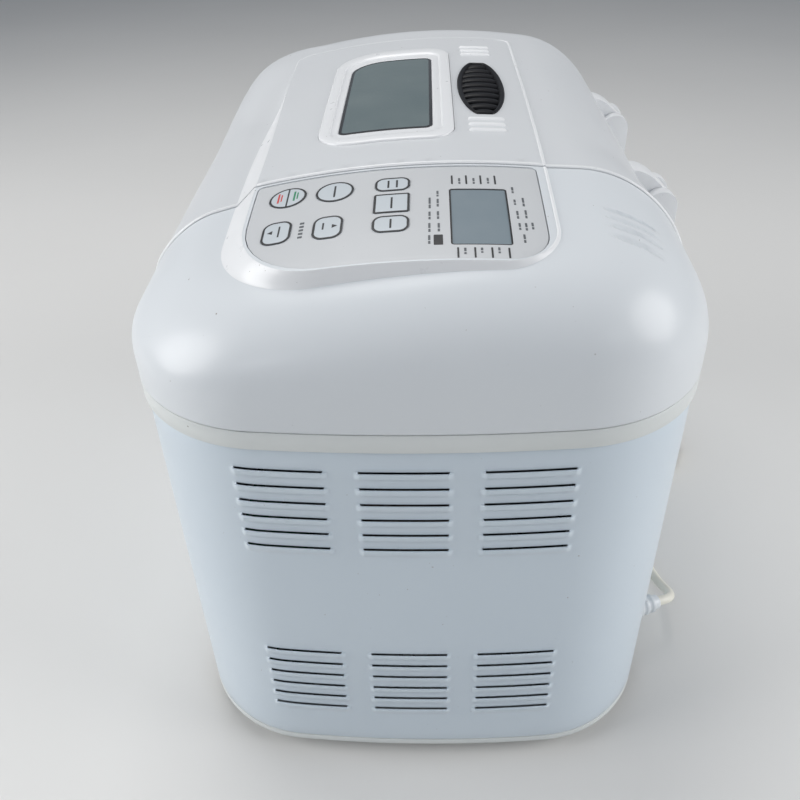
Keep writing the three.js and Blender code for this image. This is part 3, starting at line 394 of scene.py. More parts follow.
def settle(piece, sharp):
    """Applies the modifiers, then smooths all but the sharp edges."""
    if piece.modifiers:
        graph = bpy.context.evaluated_depsgraph_get()
        final = bpy.data.meshes.new_from_object(piece.evaluated_get(graph))
        piece.modifiers.clear()
        piece.data = final
    bm = bmesh.new()
    bm.from_mesh(piece.data)
    limit = math.radians(sharp)
    for face in bm.faces:
        face.smooth = True
    for edge in bm.edges:
        edge.smooth = len(edge.link_faces) == 2 and edge.calc_face_angle(0) < limit
    bm.to_mesh(piece.data)
    bm.free()


# ---------------------------------------------------------------- outlines
def rounded_rect(rect, grow=0.0, corner=8, edge=12):
    """Points of a rounded rectangle, counter-clockwise, equally many for every grow."""
    x0, x1, y0, y1, front, back, far, *own = rect
    last = own[0] if own else far
    places = ((x1, y0, 1, -1, front), (x1, y1, 1, 1, back), (x0, y1, -1, 1, far), (x0, y0, -1, -1, last))
    arcs = []
    for i, (x, y, sx, sy, r) in enumerate(places):
        radius = max(r + grow, 0.05)
        cx, cy = x + sx * (grow - radius), y + sy * (grow - radius)
        angles = [(i - 1) * QUARTER + QUARTER * k / corner for k in range(corner + 1)]
        arcs.append([(cx + radius * math.cos(a), cy + radius * math.sin(a)) for a in angles])
    points = []
    for here, after in zip(arcs, arcs[1:] + arcs[:1]):
        points += here
        (ax, ay), (bx, by) = here[-1], after[0]
        for share in (k / edge for k in range(1, edge)):
            points.append((ax + (bx - ax) * share, ay + (by - ay) * share))
    return points


def pad_rect(pad):
    """A rectangle with equal corners from its centre, size and corner radius."""
    x, y, length, width, radius = pad
    return (x - length / 2, x + length / 2, y - width / 2, y + width / 2, radius, radius, radius)


def arc_points(x, y, radius, a0, a1, count):
    angles = [a0 + (a1 - a0) * i / count for i in range(count + 1)]
    return [(x + radius * math.cos(a), y + radius * math.sin(a)) for a in angles]


def circle(x, y, radius, count=32):
    angles = [TURN * i / count for i in range(count)]
    return [(x + radius * math.cos(a), y + radius * math.sin(a)) for a in angles]


def smooth(value, low, high):
    t = min(max((value - low) / (high - low), 0.0), 1.0)
    return t * t * (3 - 2 * t)


def crown_line(x):
    return CROWN_TOP - CROWN_DROP * math.exp((x - END_X) / CROWN_FADE)


def panel_height(x, y):
    return crown_line(x) - PANEL_CURVE * (y - PANEL_CENTRE_Y) ** 2


def shell_height(x, y):
    shell = crown_line(x) - SHELL_DROP - SHELL_CURVE * (y - SHELL_CENTRE_Y) ** 2
    share = smooth(END_X - x, BLEND_FROM, BLEND_TO)
    return shell + (max(panel_height(x, y), shell) - shell) * share


def on_panel(height):
    return lambda x, y: (x, y, panel_height(x, y) + height)


def over_panel(loop, height):
    return [on_panel(height)(x, y) for x, y in loop]


def level(loop, z):
    return [(x, y, z) for x, y in loop]


def across(loop, x):
    """A loop drawn in (y, z), stood at a place along X."""
    return [(x, y, z) for y, z in loop]


# A column is a place on the plan outline: arc centre, arc radius and outward normal.
def straight(x0, x1, side, step):
    count = max(1, round(abs(x1 - x0) / step))
    xs = [x0 + (x1 - x0) * i / count for i in range(count + 1)]
    return [(x, side * CORNER_Y, CORNER_R, 0.0, float(side)) for x in xs]


def arc(cx, cy, radius, a0, a1, count):
    angles = [a0 + (a1 - a0) * i / count for i in range(count + 1)]
    return [(cx, cy, radius, math.cos(a), math.sin(a)) for a in angles]


def chained(*parts):
    columns = []
    for part in parts:
        columns += part if not columns else part[1:]
    return columns


def near_columns(x0, corner=100, bow=44, step=2.5):
    """Round the control panel end, from x0 at the front to x0 at the back."""
    return chained(
        straight(x0, CORNER_X, -1, step),
        arc(CORNER_X, -CORNER_Y, CORNER_R, -QUARTER, -BOW_ANGLE, corner),
        arc(BOW_CENTRE_X, 0, END_BOW_R, -BOW_ANGLE, BOW_ANGLE, bow),
        arc(CORNER_X, CORNER_Y, CORNER_R, BOW_ANGLE, QUARTER, corner),
        straight(CORNER_X, x0, 1, step),
    )


def far_columns(x0, corner=60, bow=30, step=4.0, lead=()):
    """Round the far end, from x0 at the back to x0 at the front; lead holds extra x by the seam."""
    back = [c for x in lead for c in straight(x, x, 1, 1)[:1]]
    front = [c for x in reversed(lead) for c in straight(x, x, -1, 1)[:1]]
    start = min(lead) - step / 2 if lead else x0
    return back + chained(
        straight(start, -CORNER_X, 1, step),
        arc(-CORNER_X, CORNER_Y, CORNER_R, QUARTER, math.pi - BOW_ANGLE, corner),
        arc(-BOW_CENTRE_X, 0, END_BOW_R, math.pi - BOW_ANGLE, math.pi + BOW_ANGLE, bow),
        arc(-CORNER_X, -CORNER_Y, CORNER_R, math.pi + BOW_ANGLE, 3 * QUARTER, corner),
        straight(-CORNER_X, start, -1, step),
    ) + front


def whole_outline(corner=60, bow=30, step=8.0):
    near = near_columns(0, corner, bow, step)
    far = far_columns(0, corner, bow, step)
    return near + far[1:-1]


def at(column, offset):
    cx, cy, radius, nx, ny = column
    return cx + (radius + offset) * nx, cy + (radius + offset) * ny


def plan_ring(columns, offset, z):
    return [(*at(c, offset), z) for c in columns]


def shoulder_at(column):
    _, _, _, nx, ny = column
    end = SHOULDER["near" if nx > 0 else "far"]
    side = SHOULDER["back" if ny > 0 else "front"]
    share = ny**4 if nx > 0 else ny * ny
    return tuple(a + (b - a) * share for a, b in zip(end, side))


def back_inset(column, x):
    """How far the lid's back edge sits inside the case's, easing in from the seam."""
    ny = column[4]
    return LID_BACK_INSET * (1 - smooth(x, NOSE_X - 40, NOSE_X)) * ny * ny if ny > 0 else 0.0


# ---------------------------------------------------------------- the domed hood
BEVEL_SHARES, BEVEL_RISES = (0.0, 0.07, 0.35, 0.65, 0.93, 1.0), (0.0, 0.035, 0.34, 0.66, 0.965, 1.0)
BACK_BEAD, FLAT_STEPS = 0.55, 6
LEAST_SLOPE, MOST_SHARE, LINER_TOP_SHARE = 0.3, 0.93, 0.12
GROOVE_PLACES, GROOVE_Y, GROOVE_LENGTH = (141, 134, 128, 122), 75, 21
GROOVE_LEAN, GROOVE_LEAN_Y, GROOVE_DEPTH = 0.12, 85, 2.3
SEAM_LEADS = (88.0, 87.6, 87.1, 86.4, 85.8, 85.2)
BEAD_RISE = 0.45
PANEL_LOOP = np.array(rounded_rect(PANEL, 0, 24, 60))
PANEL_NORMALS = np.array(rounded_rect(PANEL, 1, 24, 60)) - PANEL_LOOP


def spine_point(outer):
    """The place on the hood's spine that an outline point is joined to."""
    return np.array([min(max(outer[0], -SPINE_REACH), SPINE_REACH), SPINE_Y])


def panel_edge(outer):
    """Where the line from the hood's spine to the outer point crosses the raised panel's edge, and
    the edge's outward normal there."""
    spine = spine_point(outer)
    ray = np.array(outer) - spine
    a = PANEL_LOOP - spine
    b = np.roll(PANEL_LOOP, -1, axis=0) - spine
    side_a = ray[0] * a[:, 1] - ray[1] * a[:, 0]
    side_b = ray[0] * b[:, 1] - ray[1] * b[:, 0]
    ahead = (a @ ray > 0) | (b @ ray > 0)
    i = int(np.nonzero((side_a <= 0) & (side_b > 0) & ahead)[0][0])
    j = (i + 1) % len(PANEL_LOOP)
    share = side_a[i] / (side_a[i] - side_b[i])
    point = PANEL_LOOP[i] * (1 - share) + PANEL_LOOP[j] * share
    normal = PANEL_NORMALS[i] * (1 - share) + PANEL_NORMALS[j] * share
    return point, normal / np.linalg.norm(normal)


def bevel_half(normal, x):
    """Half the width of the raised panel's bevel, widest along the front of the control panel."""
    nx, ny = normal
    front = 0.4 + 4.6 * smooth(x, -95, 60)
    widths = ((-ny, front), (nx, 0.6), (ny, 0.8), (-nx, 0.4))
    return sum(share * share * width for share, width in widths if share > 0)


def groove(x, y):
    """Depth of the teardrop grooves pressed into the housing's back shoulder."""
    along = (y - GROOVE_Y) / GROOVE_LENGTH
    if not 0 <= along <= 1:
        return 0.0
    half = 2.4 * math.sqrt(along) * (1.25 - along) + 0.2
    share = min(abs(x - centre - (y - GROOVE_LEAN_Y) * GROOVE_LEAN) / half for centre in GROOVE_PLACES)
    if share >= 1:
        return 0.0
    return GROOVE_DEPTH * math.cos(share * QUARTER) ** 2 * math.sin(math.pi * along) ** 0.5


def bead_at(x):
    """Rise of the lid's skin beside the seam."""
    full = smooth(x, SEAM_LEADS[-1], SEAM_LEADS[-1] + 1)
    return BEAD_RISE * full * (1 - smooth(x, LID_X - 0.4, LID_X + 0.4) * 0.5)


def dome_height(x, y, skin=0.0, back=False):
    """Height of the hood over a flat point: its rounded shoulder, then the shell. back lets the
    lid's back edge in."""
    ax, ay = abs(x), abs(y)
    dx, dy = ax - CORNER_X, ay - CORNER_Y
    if dx > 0 and dy * math.cos(BOW_ANGLE) > dx * math.sin(BOW_ANGLE):
        reach = math.hypot(dx, dy)
        inset, ny = CORNER_R - reach, dy / max(reach, 1e-9)
    elif dx <= 0:
        inset, ny = HALF_DEPTH - ay, 1.0
    else:
        reach = math.hypot(ax - BOW_CENTRE_X, ay)
        inset, ny = END_BOW_R - reach, ay / reach
    column = (0, 0, 0, 1.0 if x > 0 else -1.0, math.copysign(ny, y))
    radius, start = shoulder_at(column)
    inset += PROUD - skin - (back_inset(column, x) if back else 0.0)
    share = 1 - min(max(inset / (radius - skin), 0.0), 1.0)
    power = 2 + (SHOULDER_POWER - 2) * (1 - ny * ny) if x > 0 else 2
    return start + (shell_height(x, y) - skin - start) * (1 - share**power) ** (1 / power)


def skin_shares(ray, column, radius, arc_steps):
    """Shares of the way from the outline to the top's edge, dense round the shoulder."""
    length = np.linalg.norm(ray)
    slope = max(-(ray[0] * column[3] + ray[1] * column[4]) / length, LEAST_SLOPE)
    reach = radius / slope
    most = min(length * MOST_SHARE, reach)
    widest = math.acos(max(1 - most / reach, 0.0))
    shares = [(1 - math.cos(widest * k / arc_steps)) / (1 - math.cos(widest)) * most / length
              for k in range(arc_steps + 1)]
    return shares + [(most + (length - most) * k / FLAT_STEPS) / length for k in range(1, FLAT_STEPS + 1)]


def hood(surface, columns, foot, skin=0.0, arc_steps=28, grooves=False, bead=False, raised=True):
    """The hood's outer skin over some columns, less its top. Returns the skin's rows. skin moves it
    inwards, bead lifts it beside the lid's seam, and raised carries it up the raised panel's bevel."""
    lines = []
    inset_back = bead or not raised
    for column in columns:
        x_out = at(column, PROUD)[0]
        inset = back_inset(column, x_out) if inset_back else 0.0
        rise = bead_at(x_out) if bead else 0.0
        edge_out = np.array(at(column, PROUD - skin - inset))
        radius = shoulder_at(column)[0] - skin
        line = [(*at(column, PROUD - skin - inset + offset), z) for offset, z in foot]
        if raised:
            edge, normal = panel_edge(edge_out)
            half = bevel_half(normal, edge[0])
            low, high = edge + normal * half, edge - normal * half
        else:
            spine = spine_point(edge_out)
            low = spine + (edge_out - spine) * LINER_TOP_SHARE
        ray = low - edge_out
        length = np.linalg.norm(ray)
        for share in skin_shares(ray, column, radius, arc_steps):
            x, y = edge_out + ray * share
            lift = rise * min(1.0, share * length / radius * 2)
            z = dome_height(x, y, skin, inset_back) + lift
            line.append((x, y, z - (groove(x, y) if grooves else 0.0)))
        if raised:
            start_z, end_z = dome_height(*low, skin, bead), panel_height(*high)
            ridge = BACK_BEAD * max(0.0, normal[1]) ** 2
            for share, risen in zip(BEVEL_SHARES[1:], BEVEL_RISES[1:]):
                x, y = low[0] + (high[0] - low[0]) * share, low[1] + (high[1] - low[1]) * share
                z = start_z + (end_z - start_z) * risen + rise + ridge * math.sin(math.pi * share)
                line.append((x, y, z))
        lines.append(line)
    rows = [list(row) for row in zip(*lines)]
    surface.rows(rows, closed=False)
    return rows


def bevel_highlight(rows, name, body):
    """A skin over the raised panel's bevel, in the brighter lit white: a painted highlight where the bevel
    faces the light.
    """
    lift, wall = 0.05, 0.3
    bevel_rows = rows[-len(BEVEL_SHARES):]
    highlight_skin = Surface().rows([[(x, y, z + lift) for x, y, z in row] for row in bevel_rows], closed=False)
    build(highlight_skin, name, LIT_WHITE, body, thickness=wall, away=(0, 0, 150))


def rolled_foot(bottom, top):
    """A wall with a rolled bottom edge, as outward offsets and heights."""
    return [(-0.6, bottom), (-0.2, bottom + 0.15), (0, bottom + 0.6), (0, top)]


def seam_points(x, y_from, y_to, step=4.0):
    count = max(2, round(abs(y_to - y_from) / step))
    return [(x, y_from + (y_to - y_from) * i / count) for i in range(1, count)]


def end_wall(surface, rows, x, seam, floor, lift):
    """The wall across the hood at the seam, from its skin down to the floor."""
    first = [row[0] for row in rows]
    last = [row[-1] for row in rows]
    top = [lift(px, py) for px, py in seam]
    profile = [(p[1], p[2]) for p in first + top + last[::-1] if p[2] >= floor - 1e-6]
    if profile[0][1] > floor + 1e-6:
        profile = [(profile[0][0], floor), *profile, (profile[-1][0], floor)]
    surface.patch(profile, lambda y, z: (x, y, z), spacing=14)


# ---------------------------------------------------------------- cover with the control panel
OVEN_MOUTH = (DRIVE_X - 110, DRIVE_X + 110, -90, 90, 22, 22, 22)


def make_cover():
    cover = Surface()
    columns = near_columns(NOSE_X)
    rows = hood(cover, columns, rolled_foot(COVER_BOTTOM, COVER_BOTTOM + 2), grooves=True)
    rim = [(p[0], p[1]) for p in rows[-1]]
    seam = seam_points(NOSE_X, rim[-1][1], rim[0][1])
    cover.patch(rim + seam, on_panel(0.0), [rounded_rect(OVERLAY)], spacing=3.0)
    end_wall(cover, rows, NOSE_X, seam[::-1], DECK_TOP, on_panel(0.0))
    deck_columns = far_columns(NOSE_X)
    profile = [*rolled_foot(COVER_BOTTOM, DECK_TOP - 1), (-0.3, DECK_TOP - 0.3), (-1, DECK_TOP)]
    cover.rows([plan_ring(deck_columns, PROUD + offset, z) for offset, z in profile], closed=False)
    edge = [at(c, PROUD - 1) for c in deck_columns]
    line = seam_points(NOSE_X, edge[-1][1], edge[0][1], 6)
    mouth, eased, lip = (rounded_rect(OVEN_MOUTH, grow, 14, 24) for grow in (0, -0.55, -0.8))
    cover.patch(edge + line, lambda x, y: (x, y, DECK_TOP), [mouth], spacing=9)
    cover.rows([level(mouth, DECK_TOP), level(eased, DECK_TOP - 0.3), level(lip, DECK_TOP - 0.9),
                level(lip, COVER_BOTTOM + 2.2)])
    # Painted highlight along the raised panel's bevel on the nose.
    bevel_highlight(rows, "nose_bevel_highlight", "case")
    build(cover, "cover_shell", WHITE, "case", ["top_cover"], thickness=1.8,
          away=(0, 0, 120))


LOUVRE_EDGES = [top - row * LOUVRE_PITCH for top in LOUVRE_TOPS for row in range(LOUVRE_ROWS)]
LOUVRE_STATIONS = (0, 6, 12, 15.4, 16.2, 17.0, 17.7, LOUVRE_SLIT_HALF, 19.0, 19.7, LOUVRE_HALF, 20.9)
LOUVRE_LEVELS = (1.6, SLIT_TOP, SLIT_BOTTOM, -0.1, -0.8, -1.7, -2.6, -3.4, -LOUVRE_DROP, -5.6)
LOUVRE_FADE, TUCK = 17.4, 0.5


def wrap_lengths():
    """Places along the near end's outline, dense at the louvres' ends."""
    fixed = {round(centre + side * station, 4)
             for centre in LOUVRE_COLUMNS for side in (-1, 1) for station in LOUVRE_STATIONS}
    reach = BOW_HALF + CORNER_R * (QUARTER - BOW_ANGLE)
    loose = [m for m in np.arange(-reach, reach + 0.1, 2.5) if min(abs(m - f) for f in fixed) > 0.9]
    return sorted([*fixed, *loose])


def wrap_column(length):
    """The column at a length along the near end's outline, from the middle."""
    if abs(length) <= BOW_HALF:
        angle = length / END_BOW_R
        return (BOW_CENTRE_X, 0, END_BOW_R, math.cos(angle), math.sin(angle))
    angle = BOW_ANGLE + (abs(length) - BOW_HALF) / CORNER_R
    side = 1 if length > 0 else -1
    return (CORNER_X, side * CORNER_Y, CORNER_R, math.cos(angle), side * math.sin(angle))


def pressed(length, z):
    """How far the louvres push the sheet out."""
    for centre in LOUVRE_COLUMNS:
        along = abs(length - centre)
        for top in LOUVRE_EDGES:
            down = top + SLIT_BOTTOM - z
            if along < LOUVRE_HALF and -1e-6 <= down < LOUVRE_DROP:
                fade = 1 - smooth(along, LOUVRE_FADE, LOUVRE_HALF)
                return LOUVRE_RISE * fade * (1 - smooth(down / LOUVRE_DROP, 0.35, 1.0))
    return 0.0


def make_wrap():
    """Painted sheet with outward-pressed louvres in the control panel end."""
    lengths = wrap_lengths()
    rest = far_columns(CORNER_X - 6, 40, 24, 12.0)
    columns = [wrap_column(s) for s in lengths] + rest
    lengths += [math.inf] * len(rest)
    hem_top, hem_start = WRAP_BOTTOM + 1.5, WRAP_TOP - 1.5
    levels = {WRAP_BOTTOM, hem_top, 20.0, hem_start, WRAP_TOP, *map(float, range(95, 150, 6))}
    levels = sorted(levels | {top + d for top in LOUVRE_EDGES for d in LOUVRE_LEVELS})

    def is_slit(k, i):
        z = (levels[k] + levels[k + 1]) / 2
        middle = (lengths[i] + lengths[(i + 1) % len(lengths)]) / 2
        in_column = any(abs(middle - c) < LOUVRE_SLIT_HALF for c in LOUVRE_COLUMNS)
        return in_column and any(top + SLIT_BOTTOM < z < top + SLIT_TOP for top in LOUVRE_EDGES)

    rows = []
    for z in levels:
        tuck = -TUCK * (1 - smooth(z, WRAP_BOTTOM, hem_top)) - TUCK * smooth(z, hem_start, WRAP_TOP)
        rows.append([(*at(c, tuck + pressed(s, z)), z) for c, s in zip(columns, lengths)])
    wrap = Surface().rows(rows, skip=is_slit)
    build(wrap, "wrap_sheet", SHEET, "case", ["body_wrap"], thickness=0.7,
          away=(0, 0, 110), sharp=50)


def make_band():
    half = [(-2.5, 0), (0.4, 0), (1.1, 0.25), (1.5, 0.9)]
    profile = [(offset, BAND_BOTTOM + rise) for offset, rise in half]
    profile += [(offset, BAND_TOP - rise) for offset, rise in reversed(half)]
    columns = whole_outline()
    band = Surface().rows([plan_ring(columns, offset, z) for offset, z in [*profile, profile[0]]])
    build(band, "band_ring", BAND, "case", ["trim_band"], away=(0, 0, 212))


def walls(surface, loop, z0, z1):
    surface.rows([level(loop, z0), level(loop, z1)])


def plate(surface, outline, holes, z0, z1, spacing=20.0):
    for z in (z0, z1):
        surface.patch(outline, lambda x, y, z=z: (x, y, z), holes, spacing)
    for loop in (outline, *holes):
        walls(surface, loop, z0, z1)


FOOT_PLACES = [(135, -78), (135, 78), (-135, -78), (-135, 78)]
BOLT_HOLE_R = 2.6
# profiles of (radius, height)
FOOT_PROFILE = [(BOLT_HOLE_R, 4), (5, 4), (5, 0.3), (5.4, 0), (10.2, 0), (10.9, 0.7), (12, 7),
                (11.6, 7.6), (BOLT_HOLE_R, 7.7), (BOLT_HOLE_R, 4)]
SCREW_PROFILE = [(0, 2.1), (0.9, 2.1), (0.9, 1.4), (3.6, 1.4), (4.2, 2.0), (4.3, 3.7), (2.2, 3.7),
                 (2.2, 19.4), (1.6, 20), (0, 20)]


def lathe(surface, profile, x, y, count=40):
    """Turns a profile of (radius, height) about a vertical axis."""
    return surface.rows([level(circle(x, y, r, count), z) for r, z in profile])


def make_base():
    base = Surface()
    columns = whole_outline(48, 24, 12)
    floor, floor_top = BASE_BOTTOM, BASE_BOTTOM + 2.5
    profile = [(-4, floor), (-0.9, floor), (-0.25, floor + 0.3), (0, floor + 1), (0, BASE_LIP_TOP - 1),
               (-0.2, BASE_LIP_TOP - 0.3), (-0.8, BASE_LIP_TOP), (-1.5, BASE_LIP_TOP),
               (-1.5, BASE_WALL_TOP), (-3.6, BASE_WALL_TOP), (-3.6, floor_top), (-4, floor_top), (-4, floor)]
    base.rows([plan_ring(columns, offset, z) for offset, z in profile])
    slots = [rounded_rect(pad_rect((119, y, 54, 5, 2.4)), 0, 5, 6) for y in (-30, -18, -6, 6, 18, 30)]
    holes = [circle(x, y, BOLT_HOLE_R, 20) for x, y in FOOT_PLACES]
    plate(base, [at(c, -4) for c in columns], [*slots, *holes], floor, floor_top, 16)
    for x, y in FOOT_PLACES:
        lathe(base, [(BOLT_HOLE_R, 10.5), (5.5, 10.5), (5.5, 21.6), (5.1, 22), (BOLT_HOLE_R, 22),
                     (BOLT_HOLE_R, 10.5)], x, y)
    build(base, "base_shell", BAND, "case", ["base_tray"], sharp=40)
    for i, (x, y) in enumerate(FOOT_PLACES, 1):
        foot = lathe(Surface(), FOOT_PROFILE, x, y)
        build(foot, f"foot_pad_{i}", RUBBER, "case", [f"foot_{i}"])
        screw = lathe(Surface(), SCREW_PROFILE, x, y)
        build(screw, f"foot_bolt_{i}", STEEL, "case", [f"foot_screw_{i}"])


# ---------------------------------------------------------------- control panel
def draped(surface, loops):
    """Flat loops with heights over the raised panel, skinned and closed at both ends."""
    surface.rows([over_panel(loop, h) for loop, h in loops])
    for loop, h in (loops[0], loops[-1]):
        surface.patch(loop, on_panel(h), spacing=4)
    return surface


def make_overlay():
    sheet = Surface()
    low, high = OVERLAY_TOP - 0.7, OVERLAY_TOP
    holes = [rounded_rect(pad_rect(key), 0.12, 8, 4) for key in KEYS.values()]
    holes.append(rounded_rect(pad_rect(DISPLAY), 0.3, 6, 10))
    inner, outer = rounded_rect(OVERLAY, -0.7), rounded_rect(OVERLAY, -0.4)
    sheet.patch(inner, on_panel(high), holes, spacing=3.5)
    sheet.rows([over_panel(inner, high), over_panel(outer, high - 0.12), over_panel(outer, low)])
    for hole in holes:
        sheet.rows([over_panel(hole, high), over_panel(hole, low)])
    sheet.patch(outer, on_panel(low), holes, spacing=8)
    build(sheet, "overlay_sheet", OVERLAY_PAINT, "case", ["panel_overlay"])


def ring_mark(surface, rect, inner, outer, low, high):
    inside, outside = (rounded_rect(rect, grow, 10, 8) for grow in (inner, outer))
    path = ((inside, low), (inside, high), (outside, high), (outside, low), (inside, low))
    return surface.rows([over_panel(loop, h) for loop, h in path])


def prism(surface, loop, low, high):
    surface.rows([over_panel(loop, h) for h in (low, high)])
    for h in (high, low):
        surface.patch(loop, on_panel(h), spacing=50)


def bar_mark(surface, x0, x1, y0, y1, low, high, radius=0.15):
    radius = min(radius, (x1 - x0) * 0.45, (y1 - y0) * 0.45)
    prism(surface, rounded_rect((x0, x1, y0, y1, radius, radius, radius), 0, 3, 2), low, high)


def triangle_mark(surface, x, y, half, length, low, high):
    """A timer arrow; a negative length points it towards the front."""
    loop = [(x - half, y), (x + half, y), (x, y + length)]
    prism(surface, loop if length > 0 else loop[::-1], low, high)


def key_mark(ink, name, key, low, high):
    """A generic sign in place of a key's word: bars, or an arrow with a bar."""
    x, y, length = key[:3]
    if name == "start_stop":
        bar_mark(ink, x - length / 2 + 0.6, x + length / 2 - 0.6, y - 0.35, y + 0.35, low, high)
    elif name == "timer_down":
        triangle_mark(ink, x - 0.6, y - 1.7, 1.3, -2.2, low, high)
        bar_mark(ink, x - 4.2, x + 3.2, y + 0.6, y + 1.3, low, high)
    elif name == "timer_up":
        triangle_mark(ink, x - 0.3, y + 1.7, 1.3, 2.2, low, high)
        bar_mark(ink, x - 3.2, x + 1.4, y - 2.2, y - 1.5, low, high)
    else:
        reach = {"pause": 4.6, "select": 4.2}.get(name, 3.1)
        for dy in (-2.1, 1.4) if name == "loaf_size" else (-0.4,):
            bar_mark(ink, x - reach, x + reach, y + dy, y + dy + 0.8, low, high)


def make_key_label(label, dy, finish, low, high):
    """Two coloured bars, one shorter, in place of a word on the start/stop key."""
    x, y = KEYS["start_stop"][:2]
    mark = Surface()
    bar_mark(mark, x - 4.4, x + 3.4, y + dy, y + dy + 0.8, low, high)
    bar_mark(mark, x - 3.2, x + 2.2, y + dy + 1.4, y + dy + 2.0, low, high)
    build(mark, f"{label}_label", finish, "start_stop", sharp=60)


def make_keys():
    profile = [(0, -7.9), (0, -0.35), (-0.12, -0.12), (-0.4, 0.02), (-1.2, 0.08)]
    low, high = 0.0, 0.1
    for name, key in KEYS.items():
        rect = pad_rect(key)
        pad = draped(Surface(), [(rounded_rect(rect, grow, 10, 6), h) for grow, h in profile])
        build(pad, f"{name}_key", KEY_PAINT, name, [f"key_{name}"], sharp=60)
        ink = ring_mark(Surface(), rect, -0.95, -0.1, -0.2, high)
        key_mark(ink, name, key, low, high)
        build(ink, f"{name}_ink", INK, name, sharp=60)
        if name == "start_stop":
            make_key_label("start", 2.4, GREEN_INK, low, high)
            make_key_label("stop", -4.4, RED_INK, low, high)


# marks of the overlay, each from x to x at a y
TICKS = [(98.6, 106.0, y) for y in (15.0, 20.9, 26.8, 32.7)]
TICKS += [(151.0, 157.0, y) for y in (16.1, 22.4, 28.7, 35.0)]
LABELS = [
    (101, 105.8, 18.1), (101, 105.8, 24), (100.6, 105.4, 29.9), (151.3, 155, 18.8), (151.2, 154.2, 25),
    (150.9, 154.3, 31.4), (111.4, 115.8, 9), (117.7, 123.5, 9), (127, 132.4, 9), (135.3, 140.8, 9.2),
    (116.6, 124.6, 5.8), (127.1, 132.5, 5.7), (135.1, 140.9, 5.6), (143.1, 148.5, 5.5),
    (108, 112.8, 39.4), (117.9, 121.9, 39.6), (116.3, 122.7, 43), (126.4, 131.9, 40), (125.6, 131.3, 43.3),
    (134.9, 139.4, 40.2), (134.7, 139.6, 42.7), (134.2, 138.6, 45.2), (142.3, 147.5, 41.4),
]


def make_print():
    low, high = OVERLAY_TOP - 0.05, OVERLAY_TOP + 0.06
    ink = Surface()
    for x0, x1, y in TICKS:
        bar_mark(ink, x0, x1, y - 0.36, y + 0.36, low, high)
    bar_mark(ink, 142.9, 149.2, 7.1, 10.6, low, high, 0.3)
    build(ink, "panel_ticks", INK, "case", sharp=60)
    dashes = Surface()
    for x0, x1, y in LABELS:
        cut = x0 + (x1 - x0) * 0.62
        bar_mark(dashes, x0, cut - 0.3, y - 0.5, y + 0.35, low, high)
        bar_mark(dashes, cut + 0.3, x1, y - 0.5, y + 0.35, low, high)
    for x in (126.2, 128.6, 131, 133.4, 135.8):
        bar_mark(dashes, x, x + 1.3, -45.9, -44.1, low, high)
    build(dashes, "panel_labels", GREY_INK, "case", sharp=60)


def make_display():
    rect = pad_rect(DISPLAY)
    profile = [(0, -0.7), (0, -0.35), (-0.25, -0.25), (-0.8, -0.3)]
    lens = draped(Surface(), [(rounded_rect(rect, grow, 6, 10), OVERLAY_TOP + h) for grow, h in profile])
    build(lens, "display_pane", DISPLAY_GLASS, "case", ["display_lens"], sharp=60)
    edge = ring_mark(Surface(), rect, -0.35, 0.12, OVERLAY_TOP - 0.3, OVERLAY_TOP - 0.1)
    build(edge, "display_edge", INK, "case", sharp=60)


# ---------------------------------------------------------------- lid
LINER_DROP, LINER_BOTTOM, LINER_X = 9.0, 229.5, NOSE_X - 14


def under_shell(drop):
    return lambda x, y: (x, y, shell_height(x, y) - drop)


def make_lid():
    def lift(x, y):
        return (x, y, panel_height(x, y) + bead_at(x))

    lid = Surface()
    columns = far_columns(LID_X, lead=SEAM_LEADS)
    rows = hood(lid, columns, rolled_foot(LID_BOTTOM, LID_BOTTOM + 1.2), bead=True)
    rim = [(p[0], p[1]) for p in rows[-1]]
    seam = seam_points(LID_X, rim[-1][1], rim[0][1], 3)
    extra = [(x, y) for x in SEAM_LEADS[1:] for _, y in seam]
    lid.patch(rim + seam, lift, [rounded_rect(BEZEL, 0.3, 10, 16), vent_loop(0.3)], spacing=4, extra=extra)
    end_wall(lid, rows, LID_X, seam[::-1], LID_BOTTOM, lift)
    # Painted highlight along the raised panel's bevel on the lid.
    bevel_highlight(rows, "lid_bevel_highlight", "lid")
    build(lid, "lid_skin", LID_WHITE, "lid", ["lid_shell"], thickness=2.0,
          away=(0, 0, 150))


def make_ribs():
    profile = [(0.3, -0.8), (0.3, 0.05), (0, 0.25), (-0.3, 0.6), (-0.75, 0.85)]
    for i, x in enumerate(RIB_PLACES, 1):
        rect = pad_rect((x, RIB_Y, 2.8, RIB_WIDTH, 1.35))
        rib = draped(Surface(), [(rounded_rect(rect, grow, 5, 6), h) for grow, h in profile])
        # The ribs take the brighter lit white, a painted highlight.
        build(rib, f"grip_rib_{i}", LIT_WHITE, "lid", sharp=60)


def make_liner():
    liner = Surface()
    columns = far_columns(LINER_X, 30, 14, 8.0)
    rows = hood(liner, columns, [(0, LINER_BOTTOM)], skin=LINER_DROP, arc_steps=14, raised=False)
    rim = [(p[0], p[1]) for p in rows[-1]]
    seam = seam_points(LINER_X, rim[-1][1], rim[0][1], 8)
    under = under_shell(LINER_DROP)
    liner.patch(rim + seam, under, [rounded_rect(GLASS, 4, 8, 14)], spacing=9)
    end_wall(liner, rows, LINER_X, seam[::-1], LINER_BOTTOM, under)
    build(liner, "lid_lining", ALUMINIUM, "lid", ["lid_liner"], thickness=1.0,
          away=(-30, 0, 150))
    pane = Surface()
    loop = rounded_rect(GLASS, 3.6, 8, 14)
    faces = [under_shell(drop) for drop in (LINER_DROP + 0.2, LINER_DROP + 1.8)]
    for face in faces:
        pane.patch(loop, face, spacing=8)
    pane.rows([[face(x, y) for x, y in loop] for face in faces])
    build(pane, "inner_pane", WINDOW, "lid", ["inner_glass"], sharp=60)


